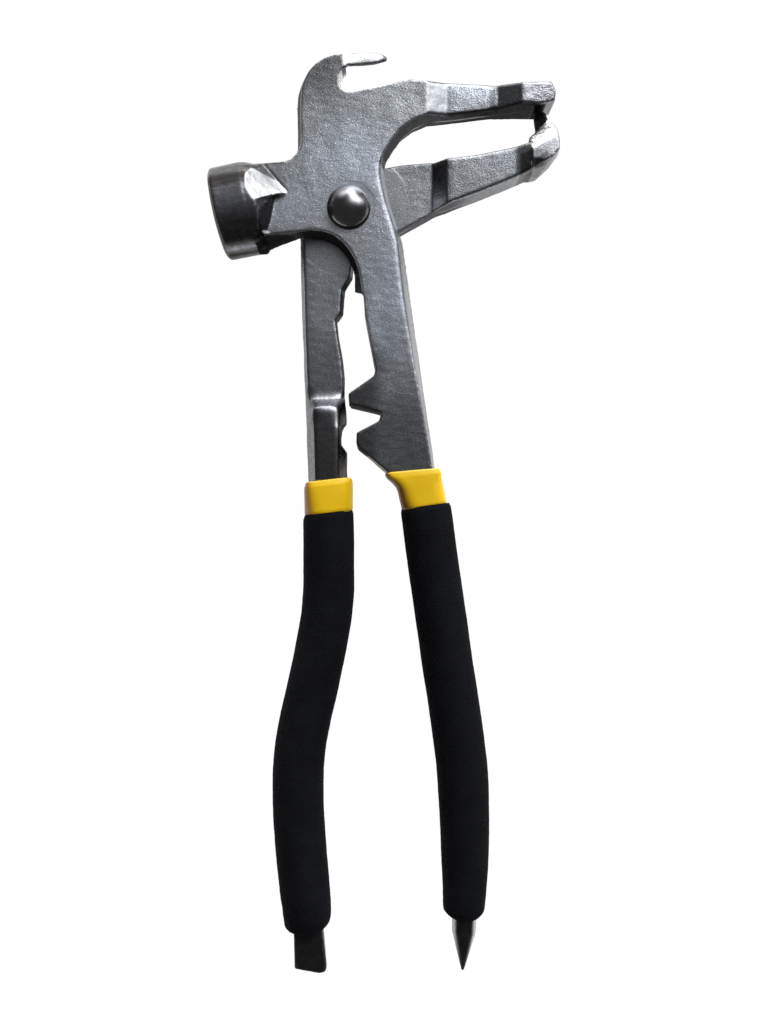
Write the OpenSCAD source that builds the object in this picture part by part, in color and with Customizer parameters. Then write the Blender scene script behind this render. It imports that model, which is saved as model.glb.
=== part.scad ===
// Wheel weight pliers: two forged halves on one rivet. The left half carries
// the lower jaw, the right half carries the hammer head, the claw hook and the
// upper jaw. Both arms run down through dipped sleeves and foam grips and end
// as a pry blade and a pointed pick.
// The tool lies flat: +Y runs from the handles to the head, +Z is the rivet's
// axis, and the origin is on the surface it lies on, under the middle of its
// outline. The outlines below are in the plan frame, whose origin is the
// rivet's axis at the lap plane between the two halves.

/* [Joint] */
// Thickness of each forging where the two lap over each other
lap_t = 5.5; // [5.3:0.1:5.7]
// Gap between the two lap faces
lap_gap = 0.1; // [0.06:0.02:0.2]
// Diameter of the rivet's shank
rivet_d = 8; // [7:0.5:9]
// Radial clearance of the shank in the turning half
rivet_clear = 0.05; // [0.03:0.01:0.1]
// Diameter of the rivet's front head
rivet_head_d = 11.6; // [10.6:0.2:12]
// Height of the rivet's front head
rivet_head_h = 3.7; // [3:0.1:4.2]
// Diameter of the rivet's formed rear head
rivet_tail_d = 11; // [10:0.2:12]
// Height of the rivet's formed rear head
rivet_tail_h = 2.2; // [1.6:0.1:2.8]

/* [Hammer] */
// Diameter of the hammer head
hammer_d = 24.4; // [23.4:0.2:25]
// Length of the round part of the hammer head
hammer_l = 10; // [9:0.5:11]
// Diameter of the flat in the middle of the striking face
face_flat_d = 17; // [12:1:20]
// Tilt of the hammer head's axis
hammer_tilt = 11.5; // [9:0.5:14]

/* [Grips] */
// Outer diameter of the foam grips
grip_d = 14; // [13.6:0.2:14.8]
// Wall of the dipped sleeve where the foam covers it
sleeve_wall = 1; // [0.8:0.1:1.1]
// Clearance between the tang, the sleeve and the foam
sleeve_gap = 0.04; // [0.02:0.01:0.06]

/* [Pick] */
// Diameter of the pick above its point
pick_d = 6.6; // [6:0.2:7]
// Diameter of the blunt end of the point
pick_tip_d = 0.7; // [0.4:0.1:1]

/* [Hidden] */
$fn = 48;

steel = [0.33, 0.34, 0.36];
blackened = [0.07, 0.07, 0.075];
yellow = [0.86, 0.68, 0.09];
foam = [0.045, 0.05, 0.055];

zf = lap_t;             // front face of the front plate
zg = lap_gap / 2;       // half the lap gap
face = [-36.1, -0.5];   // middle of the striking face
nose_x = 57;            // far side of the lower jaw's nose
claw_y = 42.1;          // top of the claw
tip_y = -206.2;         // lowest point of the pry blade

// The lap plane's place in the part's own frame: the outline's middle is put
// over the origin and the hammer head's underside on the surface.
face_r = 11.1;
rim_x = min([for (q = [[0.35, face_r], [1.2, hammer_d / 2 - 0.05]])
    face.x + q.x * cos(hammer_tilt) - q.y * sin(hammer_tilt)]);
place = [-(rim_x + nose_x) / 2, -(claw_y + tip_y) / 2, hammer_d / 2 + 0.05];

// ---- outline tools ----

function unit2(v) = v / norm(v);
function xy(p) = [p.x, p.y];

// Outward direction at point i of a counter-clockwise outline, long enough
// that both edges beside it move out by 1.
function miter(p, i) =
    let (n = len(p), a = xy(p[(i + n - 1) % n]), b = xy(p[i]),
         c = xy(p[(i + 1) % n]), e = unit2(b - a), f = unit2(c - b),
         m = [e.y + f.y, -e.x - f.x])
    m / max(0.6, 1 + e * f);

// Outline points are [x, y, draft] or [x, y, draft, x2, y2]: draft is how far
// the wall stands out at the parting line, and x2, y2 is the wall's own point
// there where it doesn't follow the draft.
function grown(p, f, inset = 0) = [for (i = [0 : len(p) - 1])
    let (m = miter(p, i))
    len(p[i]) > 3
        ? xy(p[i]) * (1 - f) + [p[i][3], p[i][4]] * f - m * inset
        : xy(p[i]) + m * (p[i][2] * f - inset)];

function turn(a, b, c) = (b.x - a.x) * (c.y - a.y) - (b.y - a.y) * (c.x - a.x);
function in_tri(a, b, c, q) =
    turn(a, b, q) >= 0 && turn(b, c, q) >= 0 && turn(c, a, q) >= 0;
function is_ear(p, ix, k) =
    let (n = len(ix), a = ix[(k + n - 1) % n], b = ix[k], c = ix[(k + 1) % n])
    turn(p[a], p[b], p[c]) > 0.00001
    && len([for (j = ix) if (j != a && j != b && j != c
                             && in_tri(p[a], p[b], p[c], p[j])) 1]) == 0;
function next_ear(p, ix, k = 0) =
    k >= len(ix) - 1 || is_ear(p, ix, k) ? k : next_ear(p, ix, k + 1);
function ears(p, ix) =
    len(ix) < 4 ? [ix]
    : let (k = next_ear(p, ix), n = len(ix))
      concat([[ix[(k + n - 1) % n], ix[k], ix[(k + 1) % n]]],
             ears(p, [for (j = [0 : n - 1]) if (j != k) ix[j]]));

// A drafted plate: outline p at each height zs, grown by the share fs of its
// draft there.
module slab(p, zs, fs, inset = 0) {
    n = len(p);
    rings = [for (f = fs) grown(p, f, inset)];
    pts = [for (k = [0 : len(zs) - 1]) for (q = rings[k]) [q.x, q.y, zs[k]]];
    ix = [for (i = [0 : n - 1]) i];
    top = (len(zs) - 1) * n;
    polyhedron(pts, concat(
        ears(rings[0], ix),
        [for (t = ears(rings[len(zs) - 1], ix)) [top + t[2], top + t[1], top + t[0]]],
        [for (k = [0 : len(zs) - 2]) for (i = ix)
            let (a = k * n + i, b = k * n + (i + 1) % n)
            each [[a, a + n, b + n], [a, b + n, b]]]));
}

// A solid through rings of points, each ring convex and counter-clockwise as
// seen from the last ring.
module skin(rings) {
    n = len(rings[0]);
    m = len(rings);
    polyhedron([for (r = rings) each r], concat(
        [for (i = [1 : n - 2]) [0, i, i + 1]],
        [for (i = [1 : n - 2]) [(m - 1) * n, (m - 1) * n + i + 1, (m - 1) * n + i]],
        [for (k = [0 : m - 2]) for (i = [0 : n - 1])
            let (a = k * n + i, b = k * n + (i + 1) % n)
            each [[a, a + n, b + n], [a, b + n, b]]]));
}

// The convex solid of a list of points.
module block(pts) {
    hull() polyhedron(pts, [[for (i = [0 : len(pts) - 1]) i]]);
}

// Chamfered section across X: y from y0 to y1, z from z0 to z1.
function across_x(x, y0, y1, z0, z1, c = 0.5) = [
    [x, y1, z0 + c], [x, y1, z1 - c], [x, y1 - c, z1], [x, y0 + c, z1],
    [x, y0, z1 - c], [x, y0, z0 + c], [x, y0 + c, z0], [x, y1 - c, z0]];

// Section across X of the claw: its underside falls back from the front face.
function across_claw(x, y0, y1, z0, z1, c) =
    let (b = min(y0 + 0.5 * (z1 - z0), y1 - 2 * c - 0.1)) [
    [x, y1, z0 + c], [x, y1, z1 - c], [x, y1 - c, z1], [x, y0 + c, z1],
    [x, y0, z1 - c], [x, b, z0 + c], [x, b + c, z0], [x, y1 - c, z0]];

// Section across Y of the raised arm: x at the rear face, the sides and the
// front face.
function across_y(y, r0, r1, s0, s1, f0, f1, z0, z1) = [
    [s1, y, z0 + 3.5], [s1, y, 0.2], [f1, y, z1], [f0, y, z1],
    [s0, y, 0.2], [s0, y, z0 + 3.5], [r0, y, z0], [r1, y, z0]];

// Rounded section of a handle: station [x, y, half width, half thickness,
// squareness, lean], lean being the angle of the section's own plane.
function station_lean(st, i) =
    st[i][5] != undef ? st[i][5]
    : let (a = st[max(0, i - 1)], b = st[min(len(st) - 1, i + 1)])
      atan2(b.x - a.x, a.y - b.y);
function handle_ring(st, i, more, sides) =
    let (s = st[i], d = station_lean(st, i))
    [for (k = [0 : sides - 1])
        let (a = 360 * k / sides, e = s[4],
             u = (s[2] + more) * sign(cos(a)) * pow(abs(cos(a)), e),
             z = (s[3] + more) * sign(sin(a)) * pow(abs(sin(a)), e))
        [s.x + u * cos(d), s.y + u * sin(d), z]];
module handle(st, more = 0, sides = 16)
    skin([for (i = [0 : len(st) - 1]) handle_ring(st, i, more, sides)]);

function arc(r, a0, a1, n) =
    [for (k = [0 : n]) let (a = a0 + (a1 - a0) * k / n) [r * cos(a), r * sin(a)]];

// ---- hammer half ----

hammer_outline = [
    // neck, lower edge
    [-27, -8.2, 0.4, -26.5, -10.8], [-22.4, -7.2, 1.2, -22.4, -10.3], [-13, -6.3, 1.2, -13.6, -6.9],
    // arch over the other arm
    [-9.5, -5.9, 1.2], [-6.8, -6.2, 1.2], [-4.1, -7.2, 1.2], [-2, -8.7, 1.2],
    [-0.3, -10.6, 1.2], [1.2, -13, 1.2], [2.2, -15.4, 1.3], [2.8, -17.6, 1.5],
    // cutter spur
    [3.1, -19.6, 1.9], [3.5, -22.4, 2.2, 1.2, -21.5], [3.7, -22.8, 0.1, 3.6, -21.9],
    // inner edge and the two teeth
    [4.2, -27.8, 0.1], [5.6, -35.3, 0.1], [7, -42.8, 0.1], [6.7, -44.6, 0.1],
    [2.9, -47.4, 0.1], [-0.1, -49.5, 0.1], [0, -52.3, 0.1], [8.7, -54.4, 0.1],
    [8, -56.7, 0.1], [2, -59.9, 0.1], [2, -62.2, 0.2], [2.6, -63.9, 0.3],
    [9.9, -70.1, 0.3], [13.2, -73, 0.3],
    // outer edge
    [23, -73, 0.8], [22.2, -69.3, 0.9], [21, -61.9, 1], [19.1, -51.2, 1.3],
    [17.3, -40.6, 1.6], [14.9, -24.7, 1.7], [13, -8.7, 1.5], [11.7, -3.9, 1.3],
    [9.8, 1.9, 1.2], [8.5, 7.8, 1.2], [8.3, 11.2, 1.1],
    // throat and upper jaw's root
    [9, 14, 1], [10.9, 17.6, 1], [13.3, 20.7, 0.9], [16.8, 23.3, 0.5],
    [20.6, 24.8, 0.1], [20.6, 33.8, 0.1], [16.5, 34.1, 0.4], [14.6, 33.8, 0.6],
    [7.2, 32.2, 0.6], [0.8, 30.9, 0.5],
    // inside of the hook
    [-0.6, 31, 0.3], [-1.8, 31.6, 0.3], [-2.5, 32.7, 0.3], [-2.8, 34.3, 0.3],
    [-2.5, 35.9, 0.3], [-1.9, 36.9, 0.3], [-0.9, 37.4, 0.1],
    // back of the hook and of the head
    [-1.5, 41, 0.1], [-4, 40.7, 0.6], [-6.6, 39.8, 0.9], [-8.9, 38.3, 1.2],
    [-10.6, 36.4, 1.4], [-11.9, 34, 1.4], [-12.6, 31.5, 1.4], [-12.8, 28.5, 1.4],
    [-12.7, 20.5, 1.4], [-12.8, 17, 1.4], [-13.6, 14.8, 1.2], [-15.2, 13.1, 1],
    [-17.5, 12.2, 0.9], [-23.1, 11.75, 0.6], [-27, 11.7, 0.4]];

// Rear of the head, outside the recess that the other half turns in
boss_outline = concat(
    [[-27, -10.4, 0.2], [-22.5, -10.2, 0]],
    [for (q = arc(14.8, 150, 72, 9)) [q.x, q.y, 0]],
    [[9.3, 15.2, 0.8], [10.9, 17.6, 1], [13.3, 20.7, 0.9], [16.8, 23.3, 0.5],
     [20.6, 24.8, 0.1], [20.6, 33.7, 0.1], [16.5, 34, 0.4], [14.6, 33.7, 0.6],
     [7.2, 32.1, 0.6], [0.8, 30.8, 0.5], [-3.2, 31.4, 0.3], [-5, 35, 0.5],
     [-9.6, 36.2, 1.3], [-11.9, 34, 1.4], [-12.6, 31.5, 1.4], [-12.8, 28.5, 1.4],
     [-12.7, 20.5, 1.4], [-12.8, 17, 1.4], [-13.6, 14.8, 1.2], [-15.2, 13.1, 1],
     [-17.5, 12.2, 0.9], [-23.1, 11.75, 0.6], [-27, 11.7, 0.4]]);

// Rear of the right arm, below the sweep of the other half
arm_outline = concat(
    [[4.2, -27.8, 0.1], [5.6, -35.3, 0.1], [7, -42.8, 0.1], [6.7, -44.6, 0.1],
     [2.9, -47.4, 0.1], [-0.1, -49.5, 0.1], [0, -52.3, 0.1], [8.7, -54.4, 0.1],
     [8, -56.7, 0.1], [2, -59.9, 0.1], [2, -62.2, 0.2], [2.6, -63.9, 0.3],
     [9.9, -70.1, 0.3], [13.2, -73, 0.3],
     [23, -73, 0.8], [22.2, -69.3, 0.9], [21, -61.9, 1], [19.1, -51.2, 1.3],
     [17.3, -40.6, 1.6], [14.9, -24.7, 1.7], [14.2, -18.7, 1.6]],
    [for (q = arc(21, -56, -76, 3)) [q.x, q.y, 0]],
    [[4.2, -23.5, 0.1]]);

right_tang = [
    [18, -69, 4.6, 4.2, 0.7, 9], [19.2, -74, 4.5, 4, 0.75], [20.4, -79.5, 4.2, 3.8, 0.8],
    [21.6, -87.5, 3.9, 3.6, 0.9], [24.3, -106.5, 3.7, 3.5, 1], [26.5, -122, 3.6, 3.5, 1],
    [28.8, -137, 3.6, 3.5, 1], [30.6, -152, 3.5, 3.4, 1], [31.2, -167.5, 3.4, 3.3, 1],
    [31.3, -178, 3.3, 3.3, 1], [31.3, -186, 3.3, 3.3, 1, 0],
    [31.25, -188.5, 3.1, 3.1, 1, 0]];

module hammer_head() {
    r = hammer_d / 2;
    translate([face.x, face.y, 0]) rotate([0, 0, hammer_tilt]) rotate([0, 90, 0])
        rotate_extrude($fn = 96) polygon([
            [0, 0], [face_flat_d / 2, 0], [face_r, 0.35], [r - 0.05, 1.2],
            [r + 0.04, hammer_l - 0.9], [r - 0.5, hammer_l - 0.3], [0, hammer_l - 0.3]]);
    // shoulder between the round head and the flat neck: two facets that meet
    // in a ridge, the upper one running out to a point on the neck's front face
    block(concat(rim_points(-91.8, 99), [
        [-16.4, 3.8, 5.45], [-19.05, 6.6, 5.5], [-25.2, 9.3, 8.4], [-22.5, 11.2, 5.4],
        [-20.6, 11.7, 1], [-19.4, 10.8, -3.3], [-19.6, 4.5, -3.4]]));
    block(concat(rim_points(99, 268.2), [
        [-19.9, 2.4, 7.4], [-20.6, 0, 5.5], [-21, -1.8, 5.5], [-21.5, -5.6, 5.5], [-22.6, -7.6, 5.35],
        [-22.6, -10.2, -0.5], [-22.3, -8.2, -3.3], [-20.5, 1, -3.4]]));
}

// Points around the back of the round head, from angle a0 to a1 about its
// axis: 90 is its highest point, 0 is on the claw's side. The round part runs
// on under the ridge between the facets.
rim_more = [[-92, -1], [0, -1], [30, 0.2], [60, 0.6], [78, 0.1], [90, 0.5], [99, 1.5],
            [109, 1.6], [125, 1.1], [148, 0], [165, -1], [270, -1]];
function rim_points(a0, a1) =
    let (r = hammer_d / 2 - 0.08, c = cos(hammer_tilt), q = sin(hammer_tilt))
    [for (k = [0 : 21]) for (back = [1, 0])
        let (a = a0 + (a1 - a0) * k / 21, w = r * cos(a),
             h = hammer_l + (back > 0 ? -2.7 : lookup(a, rim_more)))
        [face.x + h * c - w * q, face.y + h * q + w * c, r * sin(a)]];

module claw() {
    skin([
        across_claw(-4, 37.2, 40.2, 0.8, zf - 0.05, 0.3),
        across_claw(-1.6, 37.5, 40.9, 0.8, zf - 0.05, 0.4),
        across_claw(2.6, 38, 41.7, 0.8, 4.7, 0.5),
        across_claw(6.8, 38.8, claw_y, 0.9, 3.9, 0.5),
        across_claw(9, 39.6, 41.8, 1.1, 3.4, 0.4),
        across_claw(10.1, 40.3, 41.3, 1.4, 2.8, 0.25)]);
}

module upper_jaw() {
    skin([
        across_x(17, 24.2, 33.2, -3, zf - 0.3, 0.5),
        across_x(20.8, 24.9, 33.9, -3.4, zf, 0.4),
        across_x(26.1, 25.2, 34.4, -3.2, 3.2, 0.6),
        across_x(38.4, 26.7, 33.8, -3.2, 3.1, 0.6),
        across_x(39, 26.8, 33.7, -3.3, 3.4, 0.5),
        across_x(39.6, 26.8, 33.7, -3.4, 3.2, 0.5),
        across_x(46.1, 27.7, 33.4, -5.3, 5.9, 0.4),
        across_x(47.5, 27.7, 33.5, -5.3, 5.8, 0.4)]);
    block([
        [46.6, 33.5, 5.4], [46.6, 33, 5.9], [54, 34.1, 4.2], [54, 33.7, 4.8],
        [55.2, 31.7, 4.5], [55, 29, 4.4], [46.6, 28, 5.85], [46.6, 27.7, 5.4],
        [51, 27.9, 5.1], [51, 27.7, 4.6], [55.3, 31.6, 3.9], [55.1, 28.8, 3.8],
        [46.6, 33.5, -5], [46.6, 27.7, -5], [51, 27.7, -5], [55, 28.9, -4.8],
        [55.2, 31.6, -4.7], [54, 33.9, -4.8], [47.2, 33, -5.4], [47.2, 28.2, -5.4],
        [53.6, 29.4, -5.4], [53.4, 33.2, -5.4]]);
}

module right_pick() {
    translate([31.3, -186.6, 0]) rotate([0, 0, -2]) rotate([90, 0, 0]) {
        cylinder(d = pick_d, h = 8);
        translate([0, 0, 8]) cylinder(d1 = pick_d, d2 = pick_tip_d, h = 11);
    }
}

module right_arm_metal() {
    slab(arm_outline, [-zf, 0, 3], [0, 1, 1 - 3 / lap_t], 0.03);
    handle(right_tang);
    right_pick();
}

module hammer_half() color(steel) difference() {
    union() {
        slab(hammer_outline, [zg, zf], [1 - zg / lap_t, 0]);
        slab(boss_outline, [-3.5, 0, 3], [0.2, 1, 1 - 3 / lap_t], 0.03);
        hammer_head();
        claw();
        upper_jaw();
        right_arm_metal();
    }
    // rivet hole
    translate([0, 0, -1]) cylinder(d = rivet_d, h = zf + 2);
}

// ---- jaw half ----

jaw_outline = concat(
    // left arm, from the lap plate down
    [[-12.9, -5, 0.9], [-12.4, -8, 1.1], [-11.8, -34, 1.1], [-11, -53, 1], [-10.8, -58, 0.9],
     [-2, -58, 0.6], [-2.1, -50, 0.6], [-1.9, -44.6, 0.5], [-2.4, -39.4, 0.4],
     // cutter edge under the arch
     [-3.3, -33.8, 0.3], [-4, -28.9, 0.4], [-2.7, -27, 0.9], [-2.5, -23.2, 1],
     [-2.2, -20.4, 1], [-0.2, -17, 1], [0.4, -14.2, 0.6],
     // lower edge of the jaw's root
     [3.4, -10.6, 0.3], [8, -7.7, 0.3], [14.1, -4.5, 0.2], [23.3, 0.6, 0.1],
     // end of the lap plate, inside the jaw
     [24, 1.5, 0], [24, 13.6, 0],
     [22, 13.9, 0.3], [13.6, 13.2, 0.4], [8.6, 12.2, 0.4]],
    [for (q = arc(13.4, 66, 190, 10)) [q.x, q.y, 0.5]]);

left_tang = [
    [-5.9, -69, 4.4, 4.3, 0.7, 2], [-5.8, -75, 4.3, 4.2, 0.75], [-5.7, -82, 4, 3.9, 0.8],
    [-5.7, -92, 3.8, 3.6, 0.9], [-5.8, -102, 3.7, 3.5, 1], [-6.4, -109, 3.6, 3.5, 1],
    [-8.8, -122, 3.6, 3.5, 1], [-12, -137, 3.6, 3.5, 1], [-13.5, -145, 3.6, 3.5, 1],
    [-14, -154, 3.6, 3.5, 1], [-13.8, -165, 3.6, 3.4, 1], [-12.9, -176, 3.6, 3.3, 1],
    [-11.9, -186, 3.6, 3.2, 0.9, -5], [-11.6, -189, 3.4, 2.3, 0.8, -5]];

module lower_jaw() {
    skin([
        across_x(20, -0.6, 13.2, -lap_t + 0.1, -1, 0.4),
        across_x(22.2, 0.3, 13.9, -lap_t + 0.05, -0.35, 0.3),
        across_x(26.2, 1.4, 14, -5.4, 3.7, 0.6),
        across_x(28, 2.2, 14.1, -5.3, 3.8, 0.6),
        across_x(35, 4.7, 15, -5.2, 3.8, 0.6),
        across_x(44.8, 8.7, 17, -5.2, 3.8, 0.6),
        across_x(48.8, 10.5, 17.9, -5.2, 5.2, 0.4)]);
    // nose
    block([
        [48.9, 13.1, 5.5], [52.1, 12.5, 5.5], [54.4, 13.7, 5.45], [56.2, 15.8, 5.25],
        [56.2, 18.2, 5.05], [55.6, 19.2, 5], [52.2, 17.4, 5.35], [50.2, 16.1, 5.5], [48.8, 15.6, 5.45],
        [48, 17.5, 4.3], [48.2, 19.4, 3.2], [49.8, 21, 2.7], [52.4, 22.5, 2.4], [53.6, 24, 1.75],
        [54.6, 24.2, 1.75], [56.1, 22, 2.9],
        [47, 9.9, 2], [51.2, 10.2, -1], [54.2, 12.8, -1.5], [56.6, 16.1, -1.5], [nose_x, 18, 0],
        [56.9, 19.8, 0], [56, 22.3, -0.5], [54.4, 24.1, -1], [50.2, 22, -1.8],
        [48.4, 10.1, -5.2], [51, 10.6, -5.2], [53.8, 13.3, -5.2], [55.9, 16.2, -5],
        [56.2, 18.6, -5], [52, 18.6, -5], [48.4, 17.6, -5], [54, 23.6, -2.2],
        [50.3, 21.6, -2.4]]);
    // tip that meets the upper jaw
    block([
        [50.8, 20.6, 2.2], [55, 20, 1.8], [53.5, 24.8, 2.2], [52.9, 27, 1.3], [52.2, 27.6, 0.8],
        [50.6, 27.6, 0.2], [50, 27.1, 0.3], [50.2, 22, 0.6], [51.2, 20, -2.2], [55, 20, -2.2],
        [50.1, 27.1, -2], [50.6, 27.6, -1.6], [52.6, 27.6, -1.6], [53.5, 26.6, -2]]);
}

module left_blade() {
    block([
        [-15, -187, 2.2], [-7.9, -187, 2.2], [-15, -187, -2.2], [-7.9, -187, -2.2],
        [-15.1, -195, 1.9], [-7.3, -195, 1.9], [-15.1, -195, -1.9], [-7.3, -195, -1.9],
        [-15, -204.6, 0.7], [-14.7, -205, 0.6], [-8.2, tip_y, 0.6], [-6.6, -205.8, 0.6],
        [-6.2, -204.4, 0.7], [-6.8, -200.6, 1.1],
        [-15, -204.6, -0.7], [-14.7, -205, -0.6], [-8.2, tip_y, -0.6], [-6.6, -205.8, -0.6],
        [-6.2, -204.4, -0.7], [-6.8, -200.6, -1.1]]);
}

module left_arm_metal() {
    skin([
        across_y(-50.3, -10.7, -2.1, -11.9, -1.4, -10.6, -2.4, -lap_t + 0.05, 0.21),
        across_y(-52.9, -10.4, -2.4, -11.9, -1.1, -9.8, -3, -lap_t + 0.05, 4.6),
        across_y(-60, -10.2, -2.4, -11.7, -0.9, -9.3, -3, -lap_t + 0.05, 4.7),
        across_y(-73, -10, -2.4, -11.2, -0.8, -9, -3, -lap_t + 0.2, 4.7)]);
    handle(left_tang);
    left_blade();
}

module jaw_half() color(steel) difference() {
    union() {
        slab(jaw_outline, [-lap_t, -1.5, -zg], [0.3, 1, 0]);
        lower_jaw();
        left_arm_metal();
    }
    // crimping notch in the inner edge
    translate([0, 0, -10]) linear_extrude(20) polygon([
        [2, -55.6], [-0.8, -57], [-2.2, -58.5], [-2.5, -61], [-2.4, -62.8], [-0.8, -65], [2, -66.5]]);
    // rivet hole
    translate([0, 0, -lap_t - 2]) cylinder(r = rivet_d / 2 + rivet_clear, h = lap_t + 3);
}

// ---- rivet ----

module dome(d, h, skirt) {
    // a ball's cap on a short straight skirt
    rise = h - skirt;
    r = (d * d / 4 + rise * rise) / (2 * rise);
    cylinder(d = d, h = skirt);
    intersection() {
        translate([0, 0, h - r]) sphere(r = r, $fn = 96);
        translate([0, 0, skirt]) cylinder(d = d, h = rise + 1);
    }
}

module pivot_rivet() color(blackened) {
    translate([0, 0, zf]) dome(rivet_head_d, rivet_head_h, 0.9);
    translate([0, 0, -lap_t - 0.2]) cylinder(d = rivet_d, h = 2 * lap_t + 0.4);
    translate([0, 0, -lap_t - 0.06]) mirror([0, 0, 1]) dome(rivet_tail_d, rivet_tail_h, 0.5);
}

// ---- sleeves and grips ----

sleeve_end = -186;
function walled(st, from) = [for (s = st) if (s.y < from && s.y >= sleeve_end)
    [s.x, s.y, s[2] + sleeve_wall, s[3] + sleeve_wall, s[4], s[5]]];

right_sleeve = concat(
    [[16.9, -69.9, 7.4, 6.15, 0.28, 5], [17.2, -70.8, 7.35, 6.35, 0.3, 6], [18.2, -72.4, 6.7, 6.4, 0.4, 7],
     [19, -74.2, 6.2, 6.4, 0.5, 8], [19.6, -76.8, 6.2, 6.35, 0.6, 9], [20.2, -79.4, 6.15, 6.3, 0.7, 9],
     [20.3, -80.2, 5.6, 5.6, 0.8, 9]],
    walled(right_tang, -84));
left_sleeve = concat(
    [[-5.7, -72.4, 6.25, 5.95, 0.4, 6.5], [-5.7, -73.3, 6.5, 6.3, 0.45, 6.5], [-5.7, -77, 6.6, 6.4, 0.6, 6.5],
     [-5.7, -81, 6.6, 6.4, 0.75, 6.5], [-5.7, -82.2, 5.6, 5.6, 0.8, 6.5]],
    walled(left_tang, -86));

module right_collar() color(yellow) difference() {
    handle(right_sleeve);
    slab(arm_outline, [-zf, 0, zf], [0, 1, 0], -sleeve_gap);
    handle(right_tang, sleeve_gap);
}
module left_collar() color(yellow) difference() {
    handle(left_sleeve);
    skin([
        across_y(-71, -10.1, -2.3, -11.4, -0.7, -9.2, -2.8, -lap_t + 0.1, 4.8),
        across_y(-73.05, -10.1, -2.3, -11.3, -0.7, -9.1, -2.9, -lap_t + 0.1, 4.8)]);
    handle(left_tang, sleeve_gap);
}

g = grip_d / 2;
right_foam = [
    [20.5, -79.3, g - 0.3, g - 0.3, 0.9, 7.5], [20.6, -79.9, g - 0.1, g - 0.1, 0.92, 7.5],
    [21.6, -87.5, g, g, 0.95], [23.2, -99, g, g, 1], [24.3, -106.5, g, g, 1], [25.4, -114, g, g, 1],
    [26.5, -122, g, g, 1], [27.7, -129.5, g, g, 1], [28.8, -137, g, g, 1], [29.8, -144.5, g, g, 1],
    [30.6, -152, g, g, 1], [31, -160, g - 0.1, g - 0.1, 1], [31.2, -167.5, g - 0.3, g - 0.3, 1],
    [31.3, -175, g - 0.5, g - 0.5, 1], [31.2, -182.5, g - 0.95, g - 0.9, 1],
    [31, -187.6, g - 1.3, g - 1.2, 1, -1], [31, -189.5, g - 1.8, g - 1.7, 1, -1], [31.1, -190.6, g - 2.9, g - 2.8, 1, -1]];
left_foam = [
    [-5.8, -81.2, g - 0.3, g - 0.3, 0.9, 7], [-5.8, -81.8, g - 0.1, g - 0.1, 0.92, 7],
    [-5.7, -90, g, g, 0.95], [-5.7, -100, g, g, 1], [-6.2, -108, g, g, 1], [-7.3, -115, g, g, 1],
    [-8.7, -122, g, g, 1], [-10.3, -129.5, g, g, 1], [-12, -137, g, g, 1], [-13.4, -144.5, g, g, 1],
    [-14, -152, g, g, 1], [-14, -160, g, g, 1], [-13.6, -167.5, g, g, 1], [-13, -175, g, g, 1],
    [-12.3, -182.5, g - 0.1, g - 0.1, 1], [-11.6, -190, g - 0.4, g - 0.3, 1, -3],
    [-11.3, -192.6, g - 1.1, g - 1, 1, -2], [-11.3, -193.9, g - 2.2, g - 2.2, 1, -2]];

// Bore of a grip: around its sleeve, then around the bare metal below it.
module grip_bore(sleeve, below) {
    last = sleeve[len(sleeve) - 1];
    handle(concat(sleeve, [[last.x, last.y - 0.1, last[2], last[3], last[4], last[5]]]), sleeve_gap);
    handle(below);
}

module right_grip() color(foam) difference() {
    handle(right_foam, 0, 24);
    grip_bore(right_sleeve, [[31.3, -185.5, 3.5, 3.5, 1, -1], [31, -196, 3.5, 3.5, 1, -1]]);
}
module left_grip() color(foam) difference() {
    handle(left_foam, 0, 24);
    grip_bore(left_sleeve, [[-11.6, -185.5, 4.3, 3.1, 0.5, -3], [-11.2, -196, 4.35, 2.6, 0.5, -2]]);
}

translate(place) hammer_half();
translate(place) jaw_half();
translate(place) pivot_rivet();
translate(place) right_collar();
translate(place) left_collar();
translate(place) right_grip();
translate(place) left_grip();
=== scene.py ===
import math

import bpy
import bmesh
import numpy as np
from mathutils import Matrix, Vector, noise


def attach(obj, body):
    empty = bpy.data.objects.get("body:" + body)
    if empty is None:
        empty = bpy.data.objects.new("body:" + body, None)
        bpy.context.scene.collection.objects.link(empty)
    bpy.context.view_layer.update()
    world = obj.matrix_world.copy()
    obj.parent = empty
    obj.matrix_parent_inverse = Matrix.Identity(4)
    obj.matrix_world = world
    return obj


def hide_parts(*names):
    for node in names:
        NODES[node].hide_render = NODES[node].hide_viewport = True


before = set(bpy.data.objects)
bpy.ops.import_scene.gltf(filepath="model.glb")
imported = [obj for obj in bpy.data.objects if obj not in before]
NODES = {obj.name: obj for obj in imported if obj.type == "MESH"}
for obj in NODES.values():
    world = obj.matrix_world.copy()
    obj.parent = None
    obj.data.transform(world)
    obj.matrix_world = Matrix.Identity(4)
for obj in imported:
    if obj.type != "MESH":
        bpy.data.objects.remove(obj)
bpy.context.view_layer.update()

# The pivot's place in the part's own frame, in millimetres. Everything below
# that is given in plan millimetres is measured from it.
PLACE = np.array([-9.515, 82.05, 12.25])
ZF = 5.5
HAMMER_FACE = np.array([-36.1, -0.5])
HAMMER_TILT = math.radians(11.5)


def to_m(p):
    return (np.asarray(p, float) + PLACE) / 1000.0


def to_mm(co):
    return np.asarray(co, float) * 1000.0 - PLACE


def smooth(a, b, x):
    t = np.clip((x - a) / (b - a), 0.0, 1.0)
    return t * t * (3 - 2 * t)


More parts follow.
